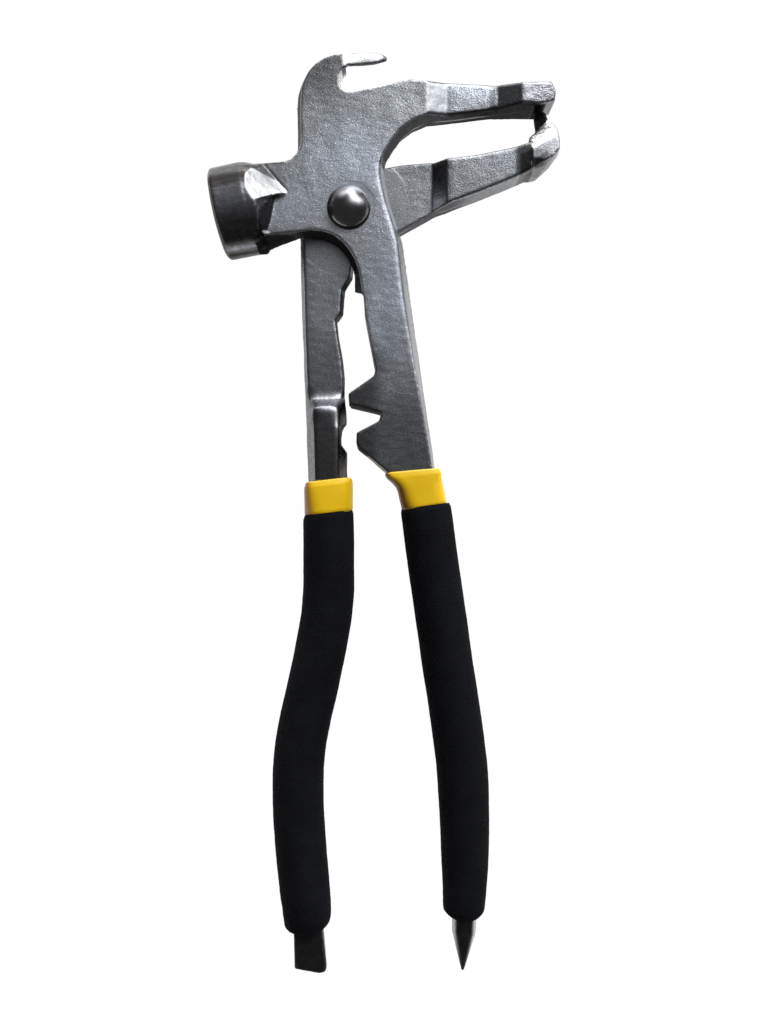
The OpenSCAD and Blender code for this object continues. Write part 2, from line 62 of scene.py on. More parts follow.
def new_object(name, verts, faces, material=None, shade=True):
    mesh = bpy.data.meshes.new(name)
    mesh.from_pydata([tuple(v) for v in verts], [], [tuple(f) for f in faces])
    mesh.update()
    if shade:
        mesh.polygons.foreach_set("use_smooth", [True] * len(mesh.polygons))
    obj = bpy.data.objects.new(name, mesh)
    bpy.context.scene.collection.objects.link(obj)
    if material is not None:
        mesh.materials.append(material)
    return obj


def get_co(mesh):
    co = np.zeros(len(mesh.vertices) * 3, np.float32)
    mesh.vertices.foreach_get("co", co)
    return co.reshape(-1, 3).astype(float)


def set_co(mesh, co):
    mesh.vertices.foreach_set("co", np.asarray(co, np.float32).ravel())
    mesh.update()


def get_normals(mesh):
    n = np.zeros(len(mesh.vertices) * 3, np.float32)
    mesh.vertex_normals.foreach_get("vector", n)
    return n.reshape(-1, 3).astype(float)


def set_attr(mesh, name, values):
    a = mesh.attributes.get(name) or mesh.attributes.new(name, "FLOAT", "POINT")
    a.data.foreach_set("value", np.asarray(values, np.float32))


def edge_array(mesh):
    e = np.zeros(len(mesh.edges) * 2, np.int32)
    mesh.edges.foreach_get("vertices", e)
    return e.reshape(-1, 2)


def relax(co, edges, steps, amount=0.5, weight=None):
    n = len(co)
    deg = np.bincount(edges.ravel(), minlength=n).astype(float)
    deg[deg == 0] = 1
    w = amount if weight is None else amount * weight[:, None]
    for _ in range(steps):
        s = np.zeros_like(co)
        for k in range(3):
            s[:, k] = np.bincount(edges[:, 0], co[edges[:, 1], k], n) + np.bincount(
                edges[:, 1], co[edges[:, 0], k], n)
        co = co + w * (s / deg[:, None] - co)
    return co


def wave(p, scale, seed):
    """Smooth noise from -1 to 1 at points p (mm), of features scale mm wide: a
    sum of waves in fixed pseudo-random directions."""
    rng = np.random.RandomState(seed)
    out = np.zeros(len(p))
    count = 22
    for _ in range(count):
        d = rng.normal(size=3)
        d /= np.linalg.norm(d)
        f = 2 * math.pi / (scale * rng.uniform(0.8, 2.2))
        out += np.sin(p @ d * f + rng.uniform(0, 2 * math.pi))
    return out / math.sqrt(count / 2.0) / 2.2


# ---------------------------------------------------------------- materials

class Mat:
    """A small helper that lays out shader nodes."""

    def __init__(self, name):
        self.m = bpy.data.materials.new(name)
        self.m.use_nodes = True
        self.t = self.m.node_tree
        self.t.nodes.clear()
        self.out = self.t.nodes.new("ShaderNodeOutputMaterial")
        self.b = self.t.nodes.new("ShaderNodeBsdfPrincipled")
        self.link(self.b.outputs[0], self.out.inputs[0])
        self.co = self.t.nodes.new("ShaderNodeTexCoord").outputs["Object"]

    def link(self, a, b):
        self.t.links.new(a, b)

    def set(self, **kw):
        for k, v in kw.items():
            self.b.inputs[k.replace("_", " ")].default_value = v
        return self

    def scaled(self, s):
        n = self.t.nodes.new("ShaderNodeMapping")
        n.inputs["Scale"].default_value = s
        self.link(self.co, n.inputs["Vector"])
        return n.outputs[0]

    def noise(self, size_mm, detail=2.0, rough=0.5, distort=0.0, vector=None):
        n = self.t.nodes.new("ShaderNodeTexNoise")
        n.inputs["Scale"].default_value = 1000.0 / size_mm
        n.inputs["Detail"].default_value = detail
        n.inputs["Roughness"].default_value = rough
        n.inputs["Distortion"].default_value = distort
        self.link(vector if vector is not None else self.co, n.inputs["Vector"])
        return n.outputs[0]

    def voronoi(self, size_mm, feature="F1", vector=None, out="Distance"):
        n = self.t.nodes.new("ShaderNodeTexVoronoi")
        n.feature = feature
        n.inputs["Scale"].default_value = 1000.0 / size_mm
        self.link(vector if vector is not None else self.co, n.inputs["Vector"])
        return n.outputs[out]

    def ramp(self, value, stops, color=False):
        n = self.t.nodes.new("ShaderNodeValToRGB")
        e = n.color_ramp.elements
        while len(e) > 1:
            e.remove(e[-1])
        for i, (pos, c) in enumerate(stops):
            item = e[0] if i == 0 else e.new(pos)
            item.position = pos
            item.color = (*c, 1.0) if hasattr(c, "__len__") else (c, c, c, 1.0)
        self.link(value, n.inputs[0])
        return n.outputs[0]

    def math(self, op, a, b=None, clamp=False):
        n = self.t.nodes.new("ShaderNodeMath")
        n.operation = op
        n.use_clamp = clamp
        for i, v in enumerate((a, b)):
            if v is None:
                continue
            if isinstance(v, (int, float)):
                n.inputs[i].default_value = v
            else:
                self.link(v, n.inputs[i])
        return n.outputs[0]

    def mix(self, fac, a, b, mode="MIX"):
        n = self.t.nodes.new("ShaderNodeMix")
        n.data_type = "RGBA"
        n.blend_type = mode
        n.clamp_factor = True
        for sock, v in ((n.inputs[0], fac), (n.inputs[6], a), (n.inputs[7], b)):
            if isinstance(v, (int, float)):
                sock.default_value = v if sock.type == "VALUE" else (v, v, v, 1)
            elif isinstance(v, tuple):
                sock.default_value = (*v, 1.0)
            else:
                self.link(v, sock)
        return n.outputs[2]

    def mixf(self, fac, a, b):
        n = self.t.nodes.new("ShaderNodeMix")
        n.data_type = "FLOAT"
        n.clamp_factor = True
        for sock, v in ((n.inputs[0], fac), (n.inputs[2], a), (n.inputs[3], b)):
            if isinstance(v, (int, float)):
                sock.default_value = v
            else:
                self.link(v, sock)
        return n.outputs[0]

    def attr(self, name):
        n = self.t.nodes.new("ShaderNodeAttribute")
        n.attribute_name = name
        return n.outputs["Fac"]

    def to(self, sock, value):
        self.link(value, self.b.inputs[sock])
        return self

    def bump(self, height, dist_mm, strength=1.0, after=None):
        n = self.t.nodes.new("ShaderNodeBump")
        n.inputs["Strength"].default_value = strength
        n.inputs["Distance"].default_value = dist_mm / 1000.0
        self.link(height, n.inputs["Height"])
        if after is not None:
            self.link(after, n.inputs["Normal"])
        return n.outputs[0]


def forged_steel():
    m = Mat("forged_steel")
    polish, ground_and_highlight, black = m.attr("polish"), m.attr("ground_and_highlight"), m.attr("black")
    edge, shade, painted_light, coarse = m.attr("edge"), m.attr("shade"), m.attr("painted_light"), m.attr("coarse")
    # blasted scale: fine grain over soft mottling
    grain = m.noise(0.42, 2.0, 0.6)
    fine = m.noise(0.24, 1.0, 0.5)
    blotch = m.noise(6.0, 3.0, 0.55)
    blotch2 = m.noise(1.7, 2.0, 0.5)
    dots = m.voronoi(0.55)
    g = m.ramp(grain, [(0.30, 0.0), (0.70, 1.0)])
    base = m.mix(g, (0.185, 0.194, 0.214), (0.545, 0.568, 0.605))
    base = m.mix(m.math("MULTIPLY", m.ramp(blotch, [(0.38, 0.0), (0.7, 1.0)]), 0.55), base, (0.265, 0.272, 0.288))
    glint = m.ramp(fine, [(0.60, 0.0), (0.72, 1.0)])
    base = m.mix(m.math("MULTIPLY", glint, 0.65), base, (0.86, 0.89, 0.94))
    pit = m.ramp(dots, [(0.05, 1.0), (0.2, 0.0)])
    base = m.mix(m.math("MULTIPLY", pit, 0.5), base, (0.05, 0.05, 0.055))
    base = m.mix(m.math("MULTIPLY", edge, 0.35), base, (0.66, 0.67, 0.69))
    base = m.mix(m.math("MULTIPLY", m.attr("calm"), 0.7), base, (0.33, 0.343, 0.365))
    # painted light: the base is made up to 1.7 times brighter where its mask is set
    up = m.mix(1.0, base, (1.54, 1.60, 1.72), "MULTIPLY")
    base = m.mix(m.math("MAXIMUM", painted_light, 0.0), base, up)
    # darker, smoother skin of the hammer head and the raised arm
    tone = m.ramp(blotch2, [(0.3, 0.0), (0.75, 1.0)])
    dark = m.mix(tone, (0.120, 0.118, 0.124), (0.200, 0.200, 0.212))
    # painted glints: bright specks in the dark skin's colour
    dark = m.mix(m.math("MULTIPLY", m.ramp(fine, [(0.60, 0.0), (0.72, 1.0)]), 0.35), dark, (0.5, 0.5, 0.53))
    dark = m.mix(m.math("MULTIPLY", edge, 0.25), dark, (0.42, 0.42, 0.44))
    # painted light on the dark skin as well
    dark = m.mix(m.math("MAXIMUM", painted_light, 0.0), dark, m.mix(1.0, dark, (2.0, 2.07, 2.2), "MULTIPLY"))
    base = m.mix(polish, base, dark)
    # painted shade: darkened where the shade mask is set
    base = m.mix(shade, base, (0.034, 0.032, 0.032))
    # faces bright from grinding; the same bright colour also paints a few highlights
    lines = m.noise(0.35, 3.0, 0.6, 0.0, m.scaled((0.16, 1.0, 1.0)))
    bright = m.mix(m.ramp(lines, [(0.3, 0.0), (0.7, 1.0)]), (0.46, 0.47, 0.485), (0.76, 0.77, 0.79))
    base = m.mix(ground_and_highlight, base, bright)
    soot = m.mix(m.ramp(blotch2, [(0.4, 0.0), (0.7, 1.0)]), (0.012, 0.012, 0.013), (0.019, 0.019, 0.0205))
    soot = m.mix(m.math("MULTIPLY", edge, 0.35), soot, (0.2, 0.2, 0.21))
    base = m.mix(black, base, soot)
    m.to("Base Color", base)
    rough = m.mixf(m.ramp(grain, [(0.3, 0.0), (0.7, 1.0)]), 0.37, 0.27)
    rough = m.mixf(m.math("MULTIPLY", edge, 0.6), rough, 0.3)
    rough = m.mixf(polish, rough, m.mixf(tone, 0.31, 0.23))
    rough = m.mixf(ground_and_highlight, rough, m.mixf(lines, 0.42, 0.30))
    rough = m.mixf(black, rough, 0.36)
    m.to("Roughness", rough)
    metal = m.mixf(black, 1.0, 0.25)
    m.to("Metallic", metal)
    h = m.math("ADD", m.math("MULTIPLY", grain, 1.0), m.math("MULTIPLY", fine, 0.45))
    h = m.math("SUBTRACT", h, m.math("MULTIPLY", pit, 0.4))
    calm = m.math("SUBTRACT", 1.0, m.math("MULTIPLY", polish, 0.72), True)
    calm = m.math("MULTIPLY", calm, m.math("SUBTRACT", 1.0, m.math("MULTIPLY", ground_and_highlight, 0.75), True))
    calm = m.math("MULTIPLY", calm, m.math("SUBTRACT", 1.0, m.math("MULTIPLY", black, 0.6), True))
    calm = m.math("MULTIPLY", calm, m.math("SUBTRACT", 1.0, m.math("MULTIPLY", m.attr("calm"), 0.8), True))
    n = m.bump(m.math("MULTIPLY", h, calm), 0.06, 1.0)
    n = m.bump(m.math("MULTIPLY", lines, ground_and_highlight), 0.03, 1.0, n)
    rows = m.noise(0.9, 2.0, 0.55, 0.6, m.scaled((0.55, 1.0, 1.0)))
    n = m.bump(m.math("MULTIPLY", rows, coarse), 0.13, 1.0, n)
    m.link(n, m.b.inputs["Normal"])
    # painted shade: walls turned to a dark matte colour; a bare, clean matte colour in the claw's notch and on one
    # painted highlight
    soft = m.t.nodes.new("ShaderNodeBsdfDiffuse")
    matte_shade_colour = m.mix(m.ramp(blotch2, [(0.3, 0.0), (0.7, 1.0)]), (0.012, 0.0105, 0.0100), (0.026, 0.0225, 0.0205))
    matte_shade_colour = m.mix(m.math("MULTIPLY", edge, 0.5), matte_shade_colour, (0.30, 0.27, 0.24))
    clean = m.mix(m.ramp(lines, [(0.3, 0.0), (0.7, 1.0)]), (0.80, 0.80, 0.80), (0.95, 0.95, 0.95))
    m.link(m.mix(ground_and_highlight, matte_shade_colour, clean), soft.inputs["Color"])
    m.link(n, soft.inputs["Normal"])
    both = m.t.nodes.new("ShaderNodeMixShader")
    m.link(m.attr("matte_shade_and_bare"), both.inputs[0])
    m.link(m.b.outputs[0], both.inputs[1])
    m.link(soft.outputs[0], both.inputs[2])
    m.link(both.outputs[0], m.out.inputs[0])
    return m.m


def black_rivet():
    m = Mat("blackened_rivet")
    m.set(Metallic=1.0)
    a = m.noise(0.5, 3.0, 0.6)
    b = m.noise(3.0, 2.0, 0.5)
    edge = m.attr("edge")
    base = m.mix(m.ramp(b, [(0.35, 0.0), (0.7, 1.0)]), (0.200, 0.199, 0.211), (0.260, 0.259, 0.273))
    base = m.mix(m.math("MULTIPLY", m.ramp(a, [(0.62, 0.0), (0.72, 1.0)]), 0.3), base, (0.28, 0.28, 0.28))
    # painted shade: the flange's rim is darkened
    base = m.mix(m.math("MULTIPLY", edge, 1.0), base, (0.060, 0.060, 0.062))
    m.to("Base Color", base)
    m.to("Roughness", m.mixf(m.ramp(a, [(0.3, 0.0), (0.7, 1.0)]), 0.19, 0.23))
    m.link(m.bump(m.math("ADD", m.math("MULTIPLY", a, 0.3), b), 0.012, 0.6), m.b.inputs["Normal"])
    return m.m


def dipped_pvc():
    m = Mat("dipped_sleeve")
    m.set(IOR=1.5)
    m.b.inputs["Subsurface Weight"].default_value = 0.12
    m.b.inputs["Subsurface Radius"].default_value = (0.6, 0.35, 0.08)
    m.b.inputs["Subsurface Scale"].default_value = 0.0012
    m.b.inputs["Coat Weight"].default_value = 0.15
    m.b.inputs["Coat Roughness"].default_value = 0.18
    a = m.noise(5.0, 2.0, 0.5)
    b = m.noise(0.9, 3.0, 0.55)
    speck = m.noise(0.35, 1.0, 0.5)
    base = m.mix(m.ramp(a, [(0.35, 0.0), (0.7, 1.0)]), (0.93, 0.575, 0.002), (0.98, 0.62, 0.003))
    base = m.mix(m.math("MULTIPLY", m.ramp(speck, [(0.66, 0.0), (0.76, 1.0)]), 0.25), base, (0.62, 0.34, 0.006))
    base = m.mix(m.math("MULTIPLY", m.attr("edge"), 0.25), base, (0.86, 0.62, 0.06))
    # painted shade: the sleeve's side away from the light is a deeper orange-brown
    base = m.mix(m.attr("shade"), base, (0.33, 0.10, 0.001))
    m.to("Base Color", base)
    m.to("Roughness", m.mixf(m.ramp(b, [(0.3, 0.0), (0.7, 1.0)]), 0.36, 0.46))
    m.link(m.bump(m.math("ADD", m.math("MULTIPLY", b, 0.35), a), 0.05, 0.6), m.b.inputs["Normal"])
    return m.m


def black_foam():
    m = Mat("grip_foam")
    m.set(Metallic=0.0)
    m.b.inputs["Specular IOR Level"].default_value = 0.045
    m.b.inputs["Sheen Weight"].default_value = 0.002
    m.b.inputs["Sheen Roughness"].default_value = 0.6
    m.b.inputs["Sheen Tint"].default_value = (0.55, 0.7, 0.75, 1.0)
    cell = m.voronoi(0.55)
    cell2 = m.voronoi(0.28)
    a = m.noise(0.5, 3.0, 0.65)
    b = m.noise(7.0, 3.0, 0.55)
    base = m.mix(m.ramp(b, [(0.3, 0.0), (0.72, 1.0)]), (0.0056, 0.0060, 0.0076), (0.0086, 0.0092, 0.0114))
    base = m.mix(m.math("MULTIPLY", m.ramp(a, [(0.55, 0.0), (0.75, 1.0)]), 0.5), base, (0.0110, 0.0118, 0.0145))
    base = m.mix(m.math("MULTIPLY", m.ramp(cell, [(0.02, 1.0), (0.2, 0.0)]), 0.5), base, (0.0040, 0.0044, 0.0056))
    m.to("Base Color", base)
    m.to("Roughness", m.mixf(m.ramp(a, [(0.3, 0.0), (0.7, 1.0)]), 0.92, 0.78))
    h = m.math("ADD", m.math("MULTIPLY", cell, 0.9), m.math("MULTIPLY", cell2, 0.4))
    h = m.math("ADD", h, m.math("MULTIPLY", a, 0.6))
    m.link(m.bump(h, 0.12, 0.9), m.b.inputs["Normal"])
    return m.m


STEEL = forged_steel()
RIVET = black_rivet()
PVC = dipped_pvc()
FOAM = black_foam()


# ---------------------------------------------------------------- forgings

def remeshed(node, voxel_mm, name, soft):
    """A closed, evenly meshed copy of a CAD node with its edges softened the
    way a drop forging's are. soft(p) lists the extra rounding: how many steps,
    and how much of each a point takes, from 0 to 1. Also returns how far each
    point stands proud of its surroundings: high on edges, negative in corners."""
    src = NODES[node]
    mesh = src.data.copy()
    bm = bmesh.new()
    bm.from_mesh(mesh)
    bmesh.ops.remove_doubles(bm, verts=bm.verts, dist=1e-6)
    bm.to_mesh(mesh)
    bm.free()
    tmp = bpy.data.objects.new("tmp", mesh)
    bpy.context.scene.collection.objects.link(tmp)
    mod = tmp.modifiers.new("r", "REMESH")
    mod.mode = "VOXEL"
    mod.voxel_size = voxel_mm / 1000.0
    mod.adaptivity = 0.0
    dg = bpy.context.evaluated_depsgraph_get()
    out = bpy.data.meshes.new_from_object(tmp.evaluated_get(dg))
    bpy.data.objects.remove(tmp)
    out.name = name
    out.materials.clear()
    edges = edge_array(out)
    p0 = to_mm(get_co(out))
    p1 = relax(p0, edges, 4, 0.5)                    # voxel steps
    for steps, amount in soft(p1):
        p1 = relax(p1, edges, steps, 0.6, amount)
    p2 = p1
    set_co(out, to_m(p2))
    n = get_normals(out)
    wide = relax(p2, edges, 26, 0.6)
    d = ((p2 - wide) * n).sum(1)
    d = relax(d[:, None].repeat(3, 1), edges, 2, 0.5)[:, 0]
    obj = bpy.data.objects.new(name, out)
    bpy.context.scene.collection.objects.link(obj)
    out.polygons.foreach_set("use_smooth", [True] * len(out.polygons))
    out.materials.append(STEEL)
    return obj, p2, n, d, edges


def flash_line(p, n, z_line, reach=0.3):
    """Where the trimmed flash of the forging shows on its walls, 0 to 1."""
    wall = smooth(0.55, 0.25, np.abs(n[:, 2]))
    near = np.exp(-((p[:, 2] - z_line) / reach) ** 2)
    broken = smooth(-0.7, 0.1, wave(p * np.array([1, 1, 0.0]), 7.0, 41))
    return wall * near * broken


def finish_forging(obj, p, n, edges, masks, rough_amp, keep, line):
    """Adds the forging's own unevenness and writes the masks."""
    mesh = obj.data
    lump = wave(p, 9.0, 3) * 0.05 + wave(p, 2.6, 5) * 0.022 + wave(p, 0.9, 7) * 0.012
    p = p + n * (lump * rough_amp * keep + 0.13 * line * np.minimum(1, keep * 2))[:, None]
    set_co(mesh, to_m(p))
    for k, v in masks.items():
        set_attr(mesh, k, np.clip(v, 0, 1))
    return p


def thin_hidden(obj, p, top, low):
    """Fewer faces on the length of the tang that the grip always hides."""
    mesh = obj.data
    inside = (p[:, 1] < top) & (p[:, 1] > low)
    co = np.zeros(len(mesh.polygons) * 3)
    mesh.polygons.foreach_get("center", co)
    share = float(((co[1::3] < to_m((0, top, 0))[1]) & (co[1::3] > to_m((0, low, 0))[1])).mean())
    group = obj.vertex_groups.new(name="hidden")
    group.add([int(i) for i in np.nonzero(inside)[0]], 1.0, "REPLACE")
    mod = obj.modifiers.new("thin", "DECIMATE")
    mod.ratio = 1.0 - 0.9 * share
    mod.vertex_group = "hidden"
    dg = bpy.context.evaluated_depsgraph_get()
    out = bpy.data.meshes.new_from_object(obj.evaluated_get(dg))
    obj.modifiers.remove(mod)
    obj.vertex_groups.clear()
    out.name = mesh.name + "_mesh"
    obj.data = out
    bpy.data.meshes.remove(mesh)


def spot(p, x, y, rx, ry, turn=0.0):
    """A soft spot of half widths rx and ry round (x, y), 1 at its middle."""
    t = math.radians(turn)
    dx, dy = p[:, 0] - x, p[:, 1] - y
    u, v = dx * math.cos(t) + dy * math.sin(t), -dx * math.sin(t) + dy * math.cos(t)
    return np.exp(-(u / rx) ** 2 - (v / ry) ** 2)


def hammer_side():
    def soft(p):
        x, y, z = p.T
        # the rolled outer edge of the right arm and of the plate above it
        out = np.interp(y, [-73, -61.9, -51.2, -40.6, -24.7, -8.7, -3.9, 1.9, 7.8, 11.2],
                        [23, 21, 19.1, 17.3, 14.9, 13.0, 11.7, 9.8, 8.5, 8.3])
        w = smooth(-3.2, -2.0, x - out) * smooth(2.6, 3.6, z) * smooth(-50, -20, y) * smooth(18, 8, y)
        # the step before the jaw's ramp is only a soft ripple
        step = smooth(37.2, 38.0, x) * smooth(39.9, 39.5, x) * smooth(2.0, 2.6, z)
        return [(30, w), (22, step)]

    obj, p, n, d, edges = remeshed("hammer_half", 0.30, "hammer_forging", soft)
    x, y, z = p.T
    ax = np.array([math.cos(HAMMER_TILT), math.sin(HAMMER_TILT)])
    along = (p[:, :2] - HAMMER_FACE) @ ax
    head = (x < -20) & (along < 12)
    polish = np.where(head, smooth(12.4, 12.0, along), 0.0)
    # the shoulder's upper facet is bright from grinding; its lower one keeps the dark skin, which also stands in for
    # painted shade on that steep wall
    on = (x < -15.5) & (z > 5.4) & (along > 9.0)
    tilt = n @ np.array([0.502, 0.316, 0.805])
    top_edge = np.interp(x, [-27.5, -25.3, -19.0, -16.2], [9.6, 9.3, 6.7, 4.3])
    upper = on * smooth(0.955, 0.98, tilt) * smooth(5.35, 5.6, z) * smooth(0.25, -0.15, y - top_edge)
    lower = on * smooth(5.6, 6.1, z) * smooth(0.2, 0.5, n[:, 0]) * smooth(0.18, 0.02, n[:, 1]) * (x < -18.6)
    polish = np.maximum(polish, lower) * (1 - upper)
    hook = (y > 36.6) * (y < 44) * (x < 14)
    ground_and_highlight = smooth(-2.2, -1.4, x + 0.12 * (y - 39)) * hook * smooth(0.3, 0.6, n[:, 2])
    ground_and_highlight = ground_and_highlight * (1 - 0.8 * spot(p, 4.5, 39.7, 1.8, 0.8, 5)) * (1 - 0.4 * smooth(0.1, 0.9, wave(p, 1.6, 57)))
    streak = smooth(0.1, 0.8, np.sin(2.6 * ((x + 24) * 0.72 + (y - 5) * 0.69) + 0.6 * wave(p, 3.0, 51)))
    ground_and_highlight = np.maximum(ground_and_highlight, 0.9 * upper * (1 - 0.4 * streak))
    # painted highlight: a small bright spot where the lower facet meets the plate
    ground_and_highlight = np.maximum(ground_and_highlight, smooth(0.2, 0.6, spot(p, -21.9, -6.65, 1.05, 0.42, 5)) * smooth(2.6, 3.6, z))
    pick = smooth(-190.0, -190.6, y)
    polish = np.maximum(polish, 0.3 * pick)
    line = flash_line(p, n, 0.0) * (~head) * (y > -72) * (y < 35) * (1 - 0.75 * smooth(34, 42, x))
    edge = smooth(0.05, 0.32, d) * 0.7 + 0.7 * line
    edge = edge * (1 - 0.5 * polish)
    wall = smooth(0.5, 0.2, n[:, 2])
    # painted shade in hollows; dark matte painted shade on walls facing -Y and on the plate's left walls
    shade = 0.35 * smooth(-0.04, -0.25, d)
    under = wall * smooth(0.0, -0.3, n[:, 1])
    matte_shade_and_bare = (0.84 + 0.1 * smooth(24, 36, x)) * under * (x > -22) * (y > -66) * smooth(51.5, 49.0, x)
    matte_shade_and_bare = np.maximum(matte_shade_and_bare, 0.85 * wall * smooth(-0.15, -0.4, n[:, 0]) * (x < -7) * (y > 12) * smooth(5.45, 5.1, z))
    notch = (x > -4.5) * (x < 9) * (y > 30.5) * smooth(0.6, 0.4, n[:, 2]) * (z > -4)
    matte_shade_and_bare = np.maximum(matte_shade_and_bare, notch)
    ground_and_highlight = np.maximum(ground_and_highlight, notch)
    # painted shade: the neck's underside runs dark into the back of the round head
    matte_shade_and_bare = np.maximum(matte_shade_and_bare, 0.97 * (x < -13) * (along > 9.2) * smooth(-5.6, -7.4, y) * smooth(5.4, 5.1, z))
    # the same painted highlight spot, as bright matte
    painted_light_spot = smooth(0.2, 0.6, spot(p, -21.9, -6.65, 1.05, 0.42, 5)) * smooth(2.6, 3.6, z)
    matte_shade_and_bare = matte_shade_and_bare * (1 - 0.8 * line * smooth(46, 40, x))
    matte_shade_and_bare = np.maximum(matte_shade_and_bare, painted_light_spot)
    # painted shade beyond the bright facet, where the plate's rounded edge would catch the light
    past = smooth(-0.25, 0.15, y - top_edge) * (x > -28) * (x < -16) * smooth(5.0, 5.4, z) * (along > 9.4)
    shade = np.maximum(shade, past * np.interp(tilt, [0.808, 0.825, 0.85, 0.97, 1.0], [0.0, 0.8, 0.97, 0.97, 0.55]))
    edge = edge * (1 - 0.9 * past)
    # painted light: a soft bright patch where the bright facet runs out on the plate
    ground_and_highlight = np.maximum(ground_and_highlight, 0.4 * spot(p, -16.8, 4.0, 1.6, 2.0, 40) * smooth(5.2, 5.4, z) * (1 - past))
    # painted shade on the hook, the upper plate, the jaw's root, the arm towards its end, the teeth and the ramp's
    # wall
    shade = np.maximum(shade, 0.62 * smooth(22, 37, y) * smooth(2.0, -3.0, x) * (1 - ground_and_highlight))
    shade = np.maximum(shade, 0.12 * smooth(20, 27, y) * smooth(14, 4, x) * (1 - ground_and_highlight))
    shade = np.maximum(shade, 0.22 * spot(p, 25, 29, 6, 6))
    shade = np.maximum(shade, 0.42 * smooth(-40, -58, y))
    shade = np.maximum(shade, 0.72 * smooth(12.5, 5.0, x) * smooth(-34, -42, y) * smooth(-72, -66, y))
    shade = np.maximum(shade, 0.62 * smooth(-0.12, -0.3, n[:, 0]) * smooth(37, 39, x) * smooth(48, 46, x) * (n[:, 2] > 0.3))
    # painted light: brighter middle of the plate, neck and arm, and on the upper jaw's front
    front = smooth(0.75, 0.95, n[:, 2])
    painted_light = 0.9 * spot(p, 0, 13, 10, 9) + 0.85 * spot(p, -16, 1, 7, 6) + 0.15 * spot(p, 8, 6, 8, 9)
    painted_light = painted_light + 0.92 * spot(p, 10.5, -25, 9, 21) + 0.25 * spot(p, 33, 30, 7, 5)
    jaw = smooth(25.6, 26.6, x) * smooth(39, 38, x)
    painted_light = painted_light + 0.5 * jaw * smooth(29.0, 32.0, y)
    # painted shade: thin dark line where the jaw's upper edge falls away
    fall = smooth(0.12, 0.4, n[:, 1]) * (x > 12) * (y > 32) * smooth(0.2, 0.5, n[:, 2])
    edge = edge * (1 - 0.8 * fall)
    shade = np.maximum(shade, 0.7 * fall)
    # painted shade damps the highlight on the rolled outer edge
    roll = smooth(0.12, 0.35, n[:, 0]) * smooth(0.6, 0.8, n[:, 2]) * (x > 5) * (x < 20) * (y > -60) * (y < 14)
    shade = np.maximum(shade, 0.70 * roll * smooth(-50, -22, y))
    edge = edge * (1 - 0.6 * roll)
    # painted shade on the nose's tip wall, the upper jaw's front and under wall, and near the nose
    tip_wall = smooth(50.5, 51.5, x) * smooth(0.3, 0.0, n[:, 2]) * (z < 4.6)
    shade = np.maximum(shade, 0.58 * tip_wall)
    shade = np.maximum(shade, 0.30 * jaw * smooth(30.5, 27.5, y) * smooth(27, 36, x))
    shade = np.maximum(shade, 0.85 * smooth(25.6, 27, x) * smooth(47, 46, x) * smooth(-0.10, -0.32, n[:, 1]) * (n[:, 2] > 0.1))
    shade = np.maximum(shade, 0.34 * smooth(46.0, 47.2, x) * smooth(3.6, 4.2, z) * smooth(33.6, 32.9, y))
    painted_light = painted_light * front
    # painted reflection: light and dark bands round the head, and painted shade on its back edge
    q = y - 0.17 * (x + 28.6)
    band = np.interp(q, [-11.6, -11.2, -10.9, -10.5, -9.9, -9.2, -8.4, -7.6, -6.8, -5.1, -4.2, -3.3, -2.3, -1.3, -0.3, 0.7,
                         1.7, 2.9, 4.0, 5.0, 6.3, 7.5, 8.3, 9.0, 9.8],
                     [0.1, 0.2, 0.9, 1.85, 0.75, 0.2, 0.4, 0.5, 0.68, 0.76, 1.2, 1.4, 1.9, 2.0, 2.0, 1.9,
                      1.5, 1.7, 0.8, 0.3, 0.06, 0.15, 0.5, 0.85, 0.7])
    band = band * (1 + 0.12 * wave(p, 1.8, 61))
    on_head = head * smooth(12.2, 11.6, along) * smooth(-0.1, 0.15, n[:, 2])
    painted_light = np.maximum(painted_light, on_head * (band - 1))
    shade = np.maximum(shade, on_head * np.clip((1 - band) / 0.8, 0, 1))
    matte_shade_and_bare = np.maximum(matte_shade_and_bare, 0.6 * on_head * smooth(0.3, 0.05, band))
    shade = np.maximum(shade, 0.85 * head * smooth(1.5, 0.9, along) * smooth(9, 7, q))
    coarse = 0.75 * smooth(46.0, 47.2, x) * smooth(3.2, 4.2, z) + 0.2 * jaw * front
    coarse = np.maximum(coarse, 0.32 * head * smooth(7.5, 5.5, q) * smooth(-4.5, -1.0, q) * smooth(11.0, 10.0, along))
    calm = smooth(20.2, 21.0, x) * smooth(27.2, 26.0, x) * (y > 24) * smooth(0.5, 0.8, n[:, 2])
    calm = np.maximum(calm, 0.32 * smooth(0, -14, y) * (x > -5))
    calm = np.maximum(calm, 0.2 * spot(p, 6, 10, 9, 12))
    # painted shade: the rim of the bright claw is a thin dark line
    # painted shade also takes out the highlight along the facet's outer line on the plate
    outer = np.exp(-((0.72 * x + 0.694 * y + 9.08) / 0.6) ** 2) * (x > -24.6) * (x < -16.0) * (z > 5.0)
    shade = np.maximum(shade, 0.72 * outer * smooth(0.012, 0.045, np.abs(tilt - 0.805)) * (1 - upper))
    painted_light = painted_light * (1 - 0.8 * outer)
    edge = edge * (1 - 0.9 * outer)
    rim = hook * (x > -2.6) * np.maximum(smooth(0.10, 0.24, d), smooth(0.6, 0.3, n[:, 2])) * smooth(0.5, 2.5, z)
    ground_and_highlight = ground_and_highlight * (1 - 0.8 * rim)
    edge = edge * (1 - 0.8 * rim)
    shade = np.maximum(shade, 0.8 * rim)
